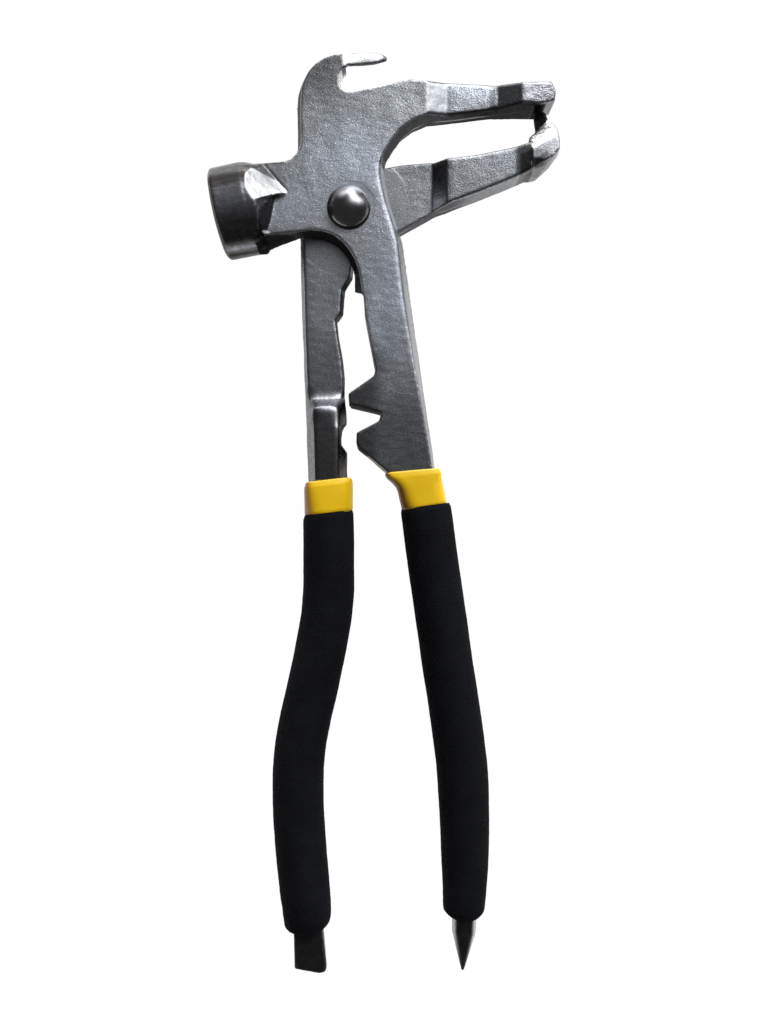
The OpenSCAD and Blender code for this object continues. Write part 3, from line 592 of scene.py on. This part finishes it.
    # painted shade on the pick, with painted highlights on its flanks
    shade = np.maximum(shade, 0.88 * pick)
    matte_shade_and_bare = np.maximum(matte_shade_and_bare, 0.35 * pick)
    flank = pick * smooth(-205.0, -193.0, y) * np.maximum(smooth(0.50, 0.80, n[:, 0]), 0.8 * smooth(-0.62, -0.9, n[:, 0]))
    ground_and_highlight = np.maximum(ground_and_highlight, 0.9 * flank)
    matte_shade_and_bare = matte_shade_and_bare * (1 - flank)
    # painted shade and dark matte in the hollow where the nose's wall meets the jaw's
    bar = smooth(49.2, 49.7, x) * smooth(52.9, 52.3, x) * smooth(0.3, 0.0, n[:, 2]) * (y > 24) * (z < 4.6)
    shade = np.maximum(shade, 0.95 * bar)
    matte_shade_and_bare = np.maximum(matte_shade_and_bare, 0.9 * bar)
    shade = shade * (1 - 0.8 * line)
    keep = np.where(y < -186, 0.0, 1.0) * (1 - 0.6 * polish)
    # stays clear of the other half and flat under the rivet's head
    keep = keep * np.where((z < 0.4) & (z > -0.6) & (np.hypot(x, y) < 17), 0.0, 1.0)
    keep = keep * smooth(6.2, 7.5, np.hypot(x, y))
    finish_forging(obj, p, n, edges, {"edge": edge, "polish": polish, "ground_and_highlight": ground_and_highlight,
                                      "black": np.zeros(len(p)), "shade": shade,
                                      "painted_light": painted_light, "coarse": coarse, "matte_shade_and_bare": matte_shade_and_bare, "calm": calm},
                   1.0, keep, line)
    thin_hidden(obj, p, -88.0, -184.0)
    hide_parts("hammer_half")
    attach(obj, "hammer_side")
    return obj


def jaw_side():
    def soft(p):
        x, y, z = p.T
        # the raised arm is rounded over, and swells up softly out of the flat one
        body = smooth(-48.2, -49.6, y) * smooth(-74, -72, y) * smooth(0.5, 2.0, z) * smooth(-1.6, -3.2, x)
        rise = smooth(-46.6, -48.6, y) * smooth(-58.5, -56.0, y) * smooth(-1.4, -0.4, z) * smooth(-0.9, -2.6, x)
        return [(26, 0.45 * body), (70, rise)]

    obj, p, n, d, edges = remeshed("jaw_half", 0.28, "jaw_forging", soft)
    x, y, z = p.T
    # bright bare nub on the nose, and painted shade on the tip above it
    low = np.interp(x, [47.5, 49.2, 50.2, 51.5, 53.7, 56.4], [15.7, 15.9, 16.3, 17.4, 18.6, 19.7])
    nub = smooth(-0.15, 0.2, y - low) * smooth(46.6, 47.4, x) * smooth(0.6, 1.2, z)
    nub_worn = np.maximum(0.75 * smooth(-0.1, 0.7, wave(p, 1.2, 71)), 0.8 * smooth(50.2, 48.8, x - 0.35 * (y - 17)))
    tip = smooth(-0.3, 0.3, (y - 21.5) - 1.05 * (x - 50.4)) * (x > 48.5) * (y > 20.5)
    # plus a painted highlight streak on the raised arm
    ground_and_highlight = nub * (1 - tip) * (1 - nub_worn) + 0.9 * spot(p, -3.2, -56.4, 0.45, 2.8) * (z > 2.5) * (y < -51)
    raised = smooth(-50.2, -52.2, y) * smooth(-180, -179, y)
    polish = 0.85 * raised
    black = smooth(-186.0, -187.0, y)
    line = flash_line(p, n, -1.5) * (y > -72) * (x < 32)
    edge = smooth(0.05, 0.32, d) * 0.7 + 0.7 * line
    # painted shade in the hollows and on the nose's tip
    shade = 0.35 * smooth(-0.04, -0.25, d)
    shade = np.maximum(shade, tip)
    # painted shade on the walls of the ramps, along the arm and on parts of the jaw's face
    shade = np.maximum(shade, 0.62 * smooth(-0.2, -0.45, n[:, 0]) * (x > 20) * (n[:, 2] > 0.2) * (1 - ground_and_highlight))
    shade = np.maximum(shade, 0.05 + 0.28 * smooth(-24, -50, y) * (y < -5))
    shade = np.maximum(shade, 0.24 * smooth(26, 30, x) * smooth(48, 44, x))
    shade = np.maximum(shade, 0.20 * smooth(8, 12, y) * smooth(11, 14, x) * smooth(22.4, 21.8, x))
    # painted shade beside the two ramps, with a lighter spot low on the first
    shade = np.maximum(shade, 0.55 * smooth(28.6, 26.2, x) * smooth(24, 25, x) * (n[:, 2] > 0.3))
    painted_light_spot = spot(p, 24.4, 2.6, 1.7, 1.5)
    shade = shade * (1 - 0.75 * painted_light_spot * (x > 22))
    # painted shade on the second ramp, the corner below the nose's face and the nose's wall
    shade = np.maximum(shade, 0.85 * smooth(45.0, 46.2, x) * smooth(49.2, 48.8, x) * smooth(15.9, 14.9, y - 0.25 * (x - 48)) * (n[:, 2] > -0.2))
    shade = np.maximum(shade, 0.9 * smooth(46.0, 47.0, x) * smooth(49.6, 49.0, x) * smooth(12.9, 12.3, y) * smooth(8.8, 9.4, y))
    shade = np.maximum(shade, 0.50 * smooth(48, 50, x) * smooth(-0.2, -0.5, n[:, 1]))
    shade = np.maximum(shade, 0.12 * smooth(30, 32, x) * smooth(45, 43, x))
    # painted shade: the wall's far edge is a dark line
    shade = np.maximum(shade, 0.85 * smooth(0.75, 0.5, np.abs(n[:, 2])) * smooth(-0.1, -0.4, n[:, 1]) * (x > 2) * (x < 48)
                       * np.maximum(smooth(-4.1, -4.7, z), 0.8 * smooth(-0.95, -0.7, z) * smooth(-0.1, -0.3, z) * (x < 23)))
    # painted shade: dark wedge along the foot of the nose's face
    foot = 12.0 + 0.62 * (x - 49.0)
    shade = np.maximum(shade, 0.86 * smooth(49.2, 49.8, x) * smooth(55.5, 51.5, x) * smooth(foot + 1.5, foot + 0.3, y) * (z > 3.2))
    # painted shade: dark line where the jaw's upper edge falls away
    fall = smooth(0.12, 0.4, n[:, 1]) * smooth(0.2, 0.5, n[:, 2]) * (x > 14) * (x < 49)
    shade = np.maximum(shade, 0.5 * fall)
    front = smooth(0.75, 0.95, n[:, 2])
    # painted light: brighter patches on the plate and the arm, on the lower jaw's bottom wall and on the raised arm's
    # left wall
    painted_light = (0.25 * spot(p, 40, 14, 8, 4) + 0.33 * spot(p, -7, -27, 5, 19)) * front
    painted_light = painted_light + 0.12 * smooth(0.5, 0.2, np.abs(n[:, 2])) * smooth(-0.3, -0.7, n[:, 1]) * (x > 27)
    painted_light = painted_light + 0.35 * raised * smooth(-0.5, -0.8, n[:, 0]) * (x < -8)
    # painted shade on the nose's front
    shade = np.maximum(shade, 0.45 * front * smooth(49, 50, x) * smooth(4.5, 5.0, z) * (1 - ground_and_highlight))
    wall = smooth(0.5, 0.2, np.abs(n[:, 2]))
    # dark matte painted shade on the raised arm's right wall and on the tip
    matte_shade_and_bare = 0.8 * wall * smooth(0.2, 0.6, n[:, 0]) * (x > -4.5) * (x < 3) * (y < -12) * (y > -74)
    matte_shade_and_bare = np.maximum(matte_shade_and_bare, 0.9 * tip)
    # the arm's edges: dark matte painted shade on its outer wall; on its inner edge the edge wear is taken off and
    # painted shade added
    outer = wall * smooth(-0.3, -0.6, n[:, 0]) * (x < -8) * smooth(-46, -40, y) * (z < -0.4)
    matte_shade_and_bare = np.maximum(matte_shade_and_bare, 0.8 * outer)
    inner = smooth(0.2, 0.5, n[:, 0]) * (x > -5) * (x < 2) * (y < -12) * (y > -50)
    edge = edge * (1 - 0.85 * inner)
    shade = np.maximum(shade, 0.6 * inner)
    # dark matte painted shade on the walls facing -Y
    matte_shade_and_bare = np.maximum(matte_shade_and_bare, 0.65 * wall * smooth(-0.2, -0.5, n[:, 1]) * smooth(34, 27, x) * (x > 2))
    matte_shade_and_bare = matte_shade_and_bare * (1 - 0.85 * line)
    # painted highlights: two bright bands on the raised arm
    painted_light = painted_light + 1.0 * spot(p, -5.6, -53.3, 4.0, 0.8) * raised + 0.9 * spot(p, -3.3, -56.6, 0.5, 3.2) * raised
    calm = 0.8 * smooth(49, 50, x) * smooth(0.2, -0.2, n[:, 2] - 0.4)
    calm = np.maximum(calm, 0.5 * smooth(0, -12, y))
    shade = shade * (1 - 0.8 * line)
    keep = np.where(y < -186, 0.3, 1.0) * (1 - 0.4 * polish)
    keep = keep * np.where((z > -0.6) & (np.hypot(x, y) < 17), 0.0, 1.0)
    keep = keep * smooth(6.2, 7.5, np.hypot(x, y))
    finish_forging(obj, p, n, edges, {"edge": edge, "polish": polish, "ground_and_highlight": ground_and_highlight,
                                      "black": black, "shade": shade,
                                      "painted_light": painted_light, "coarse": 0.8 * nub, "matte_shade_and_bare": matte_shade_and_bare, "calm": calm},
                   1.0, keep, line)
    thin_hidden(obj, p, -88.0, -188.0)
    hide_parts("jaw_half")
    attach(obj, "jaw_side")
    return obj


# ---------------------------------------------------------------- rivet

def rivet():
    """Turned profile of the rivet: domed front head, shank, formed rear head."""
    seg = 112
    prof = []                                         # (radius, height) in mm
    top, r_dome, foot = ZF + 3.66, 5.32, ZF + 1.0
    rise = top - foot
    R = (r_dome ** 2 + rise ** 2) / (2 * rise)
    a_max = math.asin(r_dome / R)
    for k in range(30):
        a = a_max * k / 29
        prof.append((R * math.sin(a), top - R + R * math.cos(a)))
    # small flange that the dome runs out into
    prof += [(5.38, ZF + 0.90), (5.46, ZF + 0.83), (5.56, ZF + 0.80), (5.66, ZF + 0.76), (5.74, ZF + 0.68),
             (5.79, ZF + 0.55), (5.79, ZF + 0.35), (5.74, ZF + 0.12), (5.55, ZF - 0.02), (4.0, ZF - 0.02),
             (3.98, ZF - 0.3), (3.98, -5.3), (3.98, -5.62), (5.2, -5.62)]
    low, r_low, h_low, sk = -5.56, 5.5, 2.2, 0.5
    rise2 = h_low - sk
    R2 = (r_low ** 2 + rise2 ** 2) / (2 * rise2)
    a2 = math.asin(r_low / R2)
    prof += [(5.38, -5.66), (5.48, -5.8), (5.5, low - sk * 0.8)]
    for k in range(14):
        a = a2 * 0.97 * (1 - k / 13.0)
        prof.append((R2 * math.sin(a), low - h_low + R2 - R2 * math.cos(a)))
    prof[0] = (0.0, prof[0][1])
    prof[-1] = (0.0, prof[-1][1])
    verts, faces, edge = [], [], []
    rows = []
    for r, z in prof:
        if r < 1e-6:
            rows.append([len(verts)])
            verts.append((0, 0, z))
            edge.append(0.0)
            continue
        row = []
        for s in range(seg):
            a = 2 * math.pi * s / seg
            # a forged head is never quite round
            rr = r - 0.012 * (1 + math.sin(3 * a + 0.7)) * (r / 5.8) ** 3
            row.append(len(verts))
            verts.append((rr * math.cos(a), rr * math.sin(a), z))
            # the flange's rim is marked for painted shade
            edge.append(1.0 if (5.42 < r and (ZF + 0.1 < z < ZF + 0.95)) else 0.0)
        rows.append(row)
    for a, b in zip(rows[:-1], rows[1:]):
        for s in range(seg):
            t = (s + 1) % seg
            if len(a) == 1:
                faces.append((a[0], b[s], b[t]))
            elif len(b) == 1:
                faces.append((a[s], b[0], a[t]))
            else:
                faces.append((a[s], b[s], b[t], a[t]))
    obj = new_object("rivet_body", [to_m(v) for v in verts], faces, RIVET)
    set_attr(obj.data, "edge", np.array(edge))
    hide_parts("pivot_rivet")
    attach(obj, "hammer_side")
    return obj


# ---------------------------------------------------------------- handles

RIGHT_TANG = [
    [18, -69, 4.6, 4.2, 0.7, 9], [19.2, -74, 4.5, 4, 0.75], [20.4, -79.5, 4.2, 3.8, 0.8],
    [21.6, -87.5, 3.9, 3.6, 0.9], [24.3, -106.5, 3.7, 3.5, 1], [26.5, -122, 3.6, 3.5, 1],
    [28.8, -137, 3.6, 3.5, 1], [30.6, -152, 3.5, 3.4, 1], [31.2, -167.5, 3.4, 3.3, 1],
    [31.3, -178, 3.3, 3.3, 1], [31.3, -186, 3.3, 3.3, 1, 0]]
LEFT_TANG = [
    [-5.9, -69, 4.4, 4.3, 0.7, 2], [-5.8, -75, 4.3, 4.2, 0.75], [-5.7, -82, 4, 3.9, 0.8],
    [-5.7, -92, 3.8, 3.6, 0.9], [-5.8, -102, 3.7, 3.5, 1], [-6.4, -109, 3.6, 3.5, 1],
    [-8.8, -122, 3.6, 3.5, 1], [-12, -137, 3.6, 3.5, 1], [-13.5, -145, 3.6, 3.5, 1],
    [-14, -154, 3.6, 3.5, 1], [-13.8, -165, 3.6, 3.4, 1], [-12.9, -176, 3.6, 3.3, 1],
    [-11.9, -186, 3.6, 3.2, 0.9, -5]]
G = 7.0
RIGHT_FOAM = [
    [20.5, -79.3, G - 0.3, G - 0.3, 0.9, 7.5], [20.6, -79.9, G - 0.1, G - 0.1, 0.92, 7.5],
    [21.6, -87.5, G, G, 0.95], [23.2, -99, G, G, 1], [24.3, -106.5, G, G, 1], [25.4, -114, G, G, 1],
    [26.5, -122, G, G, 1], [27.7, -129.5, G, G, 1], [28.8, -137, G, G, 1], [29.8, -144.5, G, G, 1],
    [30.6, -152, G, G, 1], [31, -160, G - 0.1, G - 0.1, 1], [31.2, -167.5, G - 0.3, G - 0.3, 1],
    [31.3, -175, G - 0.5, G - 0.5, 1], [31.2, -182.5, G - 0.95, G - 0.9, 1],
    [31, -187.6, G - 1.25, G - 1.2, 1, -1], [30.95, -188.8, G - 1.4, G - 1.4, 1, -1], [31.0, -189.6, G - 1.95, G - 1.9, 1, -1],
    [31.1, -190.5, G - 2.85, G - 2.8, 1, -1]]
LEFT_FOAM = [
    [-5.8, -81.2, G - 0.3, G - 0.3, 0.9, 7], [-5.8, -81.8, G - 0.1, G - 0.1, 0.92, 7],
    [-5.7, -90, G, G, 0.95], [-5.7, -100, G, G, 1], [-6.2, -108, G, G, 1], [-7.3, -115, G, G, 1],
    [-8.7, -122, G, G, 1], [-10.3, -129.5, G, G, 1], [-12, -137, G, G, 1], [-13.4, -144.5, G, G, 1],
    [-14, -152, G, G, 1], [-14, -160, G, G, 1], [-13.6, -167.5, G, G, 1], [-13, -175, G, G, 1],
    [-12.3, -182.5, G - 0.1, G - 0.1, 1], [-11.65, -190, G - 0.4, G - 0.3, 1, -3],
    [-11.65, -191.2, G - 0.6, G - 0.5, 1, -3], [-11.9, -192.4, G - 1.0, G - 0.9, 1, -3],
    [-12.15, -193.3, G - 1.5, G - 1.4, 1, -2], [-12.15, -193.8, G - 1.9, G - 1.8, 1, -2]]


def with_lean(st):
    out = []
    for i, s in enumerate(st):
        s = list(s)
        if len(s) < 6:
            a, b = st[max(0, i - 1)], st[min(len(st) - 1, i + 1)]
            s.append(math.degrees(math.atan2(b[0] - a[0], a[1] - b[1])))
        out.append(s)
    return np.array(out, float)


def resample(st, step):
    """Stations every step mm along the handle, on a smooth curve through the
    given ones that doesn't overshoot them."""
    st = with_lean(st)
    t = -st[:, 1]
    ts = np.unique(np.concatenate([np.arange(t[0], t[-1], step), [t[-1]]]))
    out = np.zeros((len(ts), 6))
    for k in (0, 2, 3, 4, 5):
        v = st[:, k]
        h = np.diff(t)
        s = np.diff(v) / h
        m = np.zeros(len(v))
        m[0], m[-1] = s[0], s[-1]
        for i in range(1, len(v) - 1):
            if s[i - 1] * s[i] > 0:
                w1, w2 = 2 * h[i] + h[i - 1], h[i] + 2 * h[i - 1]
                m[i] = (w1 + w2) / (w1 / s[i - 1] + w2 / s[i])
        idx = np.clip(np.searchsorted(t, ts, "right") - 1, 0, len(h) - 1)
        u = (ts - t[idx]) / h[idx]
        out[:, k] = ((2 * u ** 3 - 3 * u ** 2 + 1) * v[idx] + (u ** 3 - 2 * u ** 2 + u) * h[idx] * m[idx]
                     + (-2 * u ** 3 + 3 * u ** 2) * v[idx + 1] + (u ** 3 - u ** 2) * h[idx] * m[idx + 1])
    out[:, 1] = -ts
    return out


def ring(s, sides, more=0.0):
    a = 2 * np.pi * np.arange(sides) / sides
    c, q = np.cos(a), np.sin(a)
    u = (s[2] + more) * np.sign(c) * np.abs(c) ** s[4]
    z = (s[3] + more) * np.sign(q) * np.abs(q) ** s[4]
    d = math.radians(s[5])
    return np.stack([s[0] + u * math.cos(d), s[1] + u * math.sin(d), z], 1)


def loop_mesh(name, rings, material):
    """A closed tube skin through rings, the last joined to the first."""
    n, m = len(rings), len(rings[0])
    verts = np.concatenate(rings)
    faces = []
    for k in range(n):
        a, b = k * m, ((k + 1) % n) * m
        for i in range(m):
            j = (i + 1) % m
            faces.append((a + i, a + j, b + j, b + i))
    obj = new_object(name, [to_m(v) for v in verts], faces, material)
    bm = bmesh.new()
    bm.from_mesh(obj.data)
    bmesh.ops.recalc_face_normals(bm, faces=bm.faces)
    bm.to_mesh(obj.data)
    bm.free()
    obj.data.polygons.foreach_set("use_smooth", [True] * len(obj.data.polygons))
    return obj


def tweak(s, dy, dr, lean_shift=0.0):
    """Station s moved dy along the handle and dr smaller."""
    s = np.array(s, float)
    d = math.radians(s[5])
    s[0] += dy * math.sin(d)
    s[1] -= dy * math.cos(d)
    s[2] -= dr
    s[3] -= dr
    return s


def foam_grip(name, stations, bore_top, bore_low, body, seed, sides=104):
    st = resample(stations, 0.55)
    outer = []
    # cut edge at the top, with a small round
    first = st[0]
    for k in range(7):
        a = math.pi / 2 * k / 6.0                     # from the flat end to the side
        outer.append(ring(tweak(first, 0.42 * (1 - math.cos(a)), 0.42 * (1 - math.sin(a))), sides))
    body_rings = [s for s in st if s[1] < first[1] - 0.6]
    for s in body_rings:
        outer.append(ring(s, sides))
    pts = np.concatenate(outer)
    rows = len(outer)
    # skin of the foam: fine grain and soft unevenness, always inwards
    grain = np.abs(wave(pts, 0.85, seed)) * 0.05 + (wave(pts, 1.7, seed + 1) + 1) * 0.018 + (wave(pts, 7.0, seed + 2) + 1) * 0.05
    centre = pts.reshape(rows, sides, 3).mean(1).repeat(sides, 0)
    out_dir = pts - centre
    out_dir /= np.linalg.norm(out_dir, axis=1)[:, None]
    pts = pts - out_dir * grain[:, None]
    outer = list(pts.reshape(rows, sides, 3))
    last = st[-1]
    inner = []
    low = np.array([last[0], last[1], bore_low[0], bore_low[1], bore_low[2], last[5]])
    inner.append(ring(tweak(last, 0.25, 0.7), sides))
    inner.append(ring(tweak(np.array([*low[:2], low[2] + 0.25, low[3] + 0.25, low[4], low[5]]), 0.2, 0.0), sides))
    inner.append(ring(tweak(low, -0.2, 0.0), sides))
    inner.append(ring(tweak(low, -4.0, 0.0), sides))
    mid = [s for s in st[::14] if first[1] - 8 > s[1] > last[1] + 6][::-1]
    for s in mid:
        inner.append(ring([s[0], s[1], bore_top[0] - 0.6, bore_top[1] - 0.6, 0.95, s[5]], sides))
    top = np.array([first[0], first[1], bore_top[0], bore_top[1], bore_top[2], first[5]])
    inner.append(ring(tweak(top, 3.0, 0.3), sides))
    inner.append(ring(tweak(top, 0.35, 0.0), sides))
    inner.append(ring(tweak(top, 0.0, -0.15), sides))
    obj = loop_mesh(name, outer + inner, FOAM)
    return obj


def sleeve(name, top_stations, tang, start, metal, body, side_shade, sides=96):
    """Dipped sleeve: visible lip and collar, then a thin wall under the foam."""
    outer_st = [list(s) for s in top_stations] + [
        [s[0], s[1], s[2] + 1, s[3] + 1, s[4]] + list(s[5:]) for s in tang if s[1] < start]
    st = resample(outer_st, 0.6)
    first = st[0]
    outer = []
    r = 0.5
    for k in range(9):
        a = math.pi / 2 * k / 8.0
        outer.append(ring(tweak(first, r * (1 - math.cos(a)), r * (1 - math.sin(a))), sides))
    for s in st:
        if s[1] < first[1] - r - 0.1:
            outer.append(ring(s, sides))
    pts = np.concatenate(outer)
    rows = len(outer)
    centre = pts.reshape(rows, sides, 3).mean(1).repeat(sides, 0)
    out_dir = pts - centre
    out_dir /= np.linalg.norm(out_dir, axis=1)[:, None]
    dip = (wave(pts, 6.0, 31) + 1) * 0.035 + (wave(pts, 2.0, 33) + 1) * 0.01
    pts = pts - out_dir * dip[:, None]
    outer = list(pts.reshape(rows, sides, 3))
    last = st[-1]
    inner = [ring(tweak(last, 0.0, 0.9), sides)]
    for s in st[::16][::-1]:
        if first[1] - 6 > s[1] > last[1] + 4:
            inner.append(ring([s[0], s[1], s[2] - 1.0, s[3] - 1.0, s[4], s[5]], sides))
    m = np.array([metal[0], first[1], metal[1], metal[2], metal[3], first[5]])
    inner.append(ring(tweak(m, 3.0, 0.5), sides))
    inner.append(ring(tweak(m, 0.35, 0.25), sides))
    inner.append(ring(tweak(m, 0.0, -0.1), sides))
    obj = loop_mesh(name, outer + inner, PVC)
    n = len(obj.data.vertices)
    edge = np.zeros(n)
    edge[: sides * 9] = 1.0
    set_attr(obj.data, "edge", edge)
    # painted shade: the colour is deeper on the side facing -X, away from the light
    set_attr(obj.data, "shade", side_shade * smooth(-0.12, -0.8, get_normals(obj.data)[:, 0]))
    return obj


RIGHT_SLEEVE_TOP = [
    [16.9, -69.9, 7.4, 6.15, 0.28, 5], [17.2, -70.8, 7.35, 6.35, 0.3, 6], [18.2, -72.4, 6.7, 6.4, 0.4, 7],
    [19, -74.2, 6.2, 6.4, 0.5, 8], [19.6, -76.8, 6.2, 6.35, 0.6, 9], [20.2, -79.4, 6.15, 6.3, 0.7, 9],
    [20.3, -80.2, 5.6, 5.6, 0.8, 9]]
LEFT_SLEEVE_TOP = [
    [-5.7, -72.4, 6.25, 5.95, 0.4, 6.5], [-5.7, -73.3, 6.5, 6.3, 0.45, 6.5], [-5.7, -77, 6.6, 6.4, 0.6, 6.5],
    [-5.7, -81, 6.6, 6.4, 0.75, 6.5], [-5.7, -82.2, 5.6, 5.6, 0.8, 6.5]]

hammer_side()
jaw_side()
rivet()

rc = sleeve("right_sleeve", RIGHT_SLEEVE_TOP, RIGHT_TANG, -84, (17.2, 5.9, 5.0, 0.5), "hammer_side", 0.95)
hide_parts("right_collar")
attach(rc, "hammer_side")
lc = sleeve("left_sleeve", LEFT_SLEEVE_TOP, LEFT_TANG, -86, (-6.0, 5.0, 5.0, 0.5), "jaw_side", 0.78)
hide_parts("left_collar")
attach(lc, "jaw_side")

rg = foam_grip("right_foam", RIGHT_FOAM, (6.0, 6.1, 0.78), (3.5, 3.5, 1.0), "hammer_side", 11)
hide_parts("right_grip")
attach(rg, "hammer_side")
lg = foam_grip("left_foam", LEFT_FOAM, (6.4, 6.2, 0.78), (4.3, 2.7, 0.5), "jaw_side", 17)
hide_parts("left_grip")
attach(lg, "jaw_side")


# ---------------------------------------------------------------- floor, light, camera

def floor():
    s = 3.0
    obj = new_object("floor", [(-s, -s, 0), (s, -s, 0), (s, s, 0), (-s, s, 0)], [(0, 1, 2, 3)], None, False)
    m = bpy.data.materials.new("floor_paper")
    m.use_nodes = True
    t = m.node_tree
    b = t.nodes["Principled BSDF"] if "Principled BSDF" in t.nodes else t.nodes.new("ShaderNodeBsdfPrincipled")
    b.inputs["Base Color"].default_value = (0.9, 0.9, 0.9, 1)
    b.inputs["Roughness"].default_value = 0.9
    b.inputs["Specular IOR Level"].default_value = 0.1
    b.inputs["Emission Color"].default_value = (1, 1, 1, 1)
    b.inputs["Emission Strength"].default_value = 1.0
    n = t.nodes.new("ShaderNodeTexNoise")
    n.inputs["Scale"].default_value = 40
    r = t.nodes.new("ShaderNodeValToRGB")
    r.color_ramp.elements[0].color = (0.02, 0.02, 0.02, 1)
    r.color_ramp.elements[1].color = (0.03, 0.03, 0.03, 1)
    t.links.new(n.outputs[0], r.inputs[0])
    t.links.new(r.outputs[0], b.inputs["Base Color"])
    obj.data.materials.append(m)
    obj.location.z = -0.0002
    obj.visible_glossy = False
    obj.visible_diffuse = False
    obj.visible_shadow = False
    table = new_object("table", [(-s, -s, 0), (s, -s, 0), (s, s, 0), (-s, s, 0)], [(0, 1, 2, 3)], None, False)
    m2 = bpy.data.materials.new("table_top")
    m2.use_nodes = True
    b2 = m2.node_tree.nodes["Principled BSDF"]
    b2.inputs["Base Color"].default_value = (0.90, 0.89, 0.87, 1)
    b2.inputs["Roughness"].default_value = 0.9
    b2.inputs["Specular IOR Level"].default_value = 0.1
    b2.inputs["Emission Color"].default_value = (1.0, 0.985, 0.955, 1)
    b2.inputs["Emission Strength"].default_value = 0.38
    table.data.materials.append(m2)
    table.location.z = -0.0003
    table.visible_camera = False


floor()


# The room as soft patches of light: (azimuth from +Y towards +X, elevation,
# how narrow, how bright). A window stands beyond the head, to its right.
LIGHTS = [
    (20, 33, 40, 8.1), (46, 35, 40, 5.7), (28, 50, 40, 2.9), (5, 17, 40, 3.4), (-20, 17, 40, 2.6),
    (5, 5, 40, 8.5), (-20, 5, 40, 1.4), (55, 18, 60, 1.6), (0, 62, 14, 0.12),
]
ROOM = 0.075

world = bpy.data.worlds.new("studio")
bpy.context.scene.world = world
world.use_nodes = True
wt = world.node_tree
wt.nodes.clear()


def wmath(op, a, b=None):
    n = wt.nodes.new("ShaderNodeMath")
    n.operation = op
    for i, v in enumerate((a, b)):
        if isinstance(v, (int, float)):
            n.inputs[i].default_value = v
        elif v is not None:
            wt.links.new(v, n.inputs[i])
    return n.outputs[0]


tc = wt.nodes.new("ShaderNodeTexCoord")
total = None
for az, el, k, power in LIGHTS:
    e, a = math.radians(el), math.radians(az)
    dot = wt.nodes.new("ShaderNodeVectorMath")
    dot.operation = "DOT_PRODUCT"
    wt.links.new(tc.outputs["Generated"], dot.inputs[0])
    dot.inputs[1].default_value = (math.sin(a) * math.cos(e), math.cos(a) * math.cos(e), math.sin(e))
    part = wmath("EXPONENT", wmath("MULTIPLY", wmath("SUBTRACT", dot.outputs["Value"], 1.0), float(k)))
    part = wmath("MULTIPLY", part, float(power))
    total = part if total is None else wmath("ADD", total, part)
total = wmath("ADD", total, ROOM)
wb = wt.nodes.new("ShaderNodeBackground")
wb.inputs[0].default_value = (1.0, 1.0, 1.0, 1.0)
wo = wt.nodes.new("ShaderNodeOutputWorld")
wt.links.new(total, wb.inputs[1])
wt.links.new(wb.outputs[0], wo.inputs[0])

cam = bpy.data.cameras.new("camera")
cam.sensor_fit = "AUTO"
cam.sensor_width = 36.0
cam.lens = 920.0 / 1024.0 * 36.0
cam.clip_start, cam.clip_end = 0.01, 10.0
cam.dof.use_dof = False
co = bpy.data.objects.new("camera", cam)
bpy.context.scene.collection.objects.link(co)
co.location = Vector(to_m((9.3, -81.0, 250.0)))
co.rotation_euler = (0, 0, 0)
bpy.context.scene.camera = co

vs = bpy.context.scene.view_settings
vs.view_transform = "Standard"
vs.look = "None"
vs.exposure = 0.0
vs.gamma = 1.0
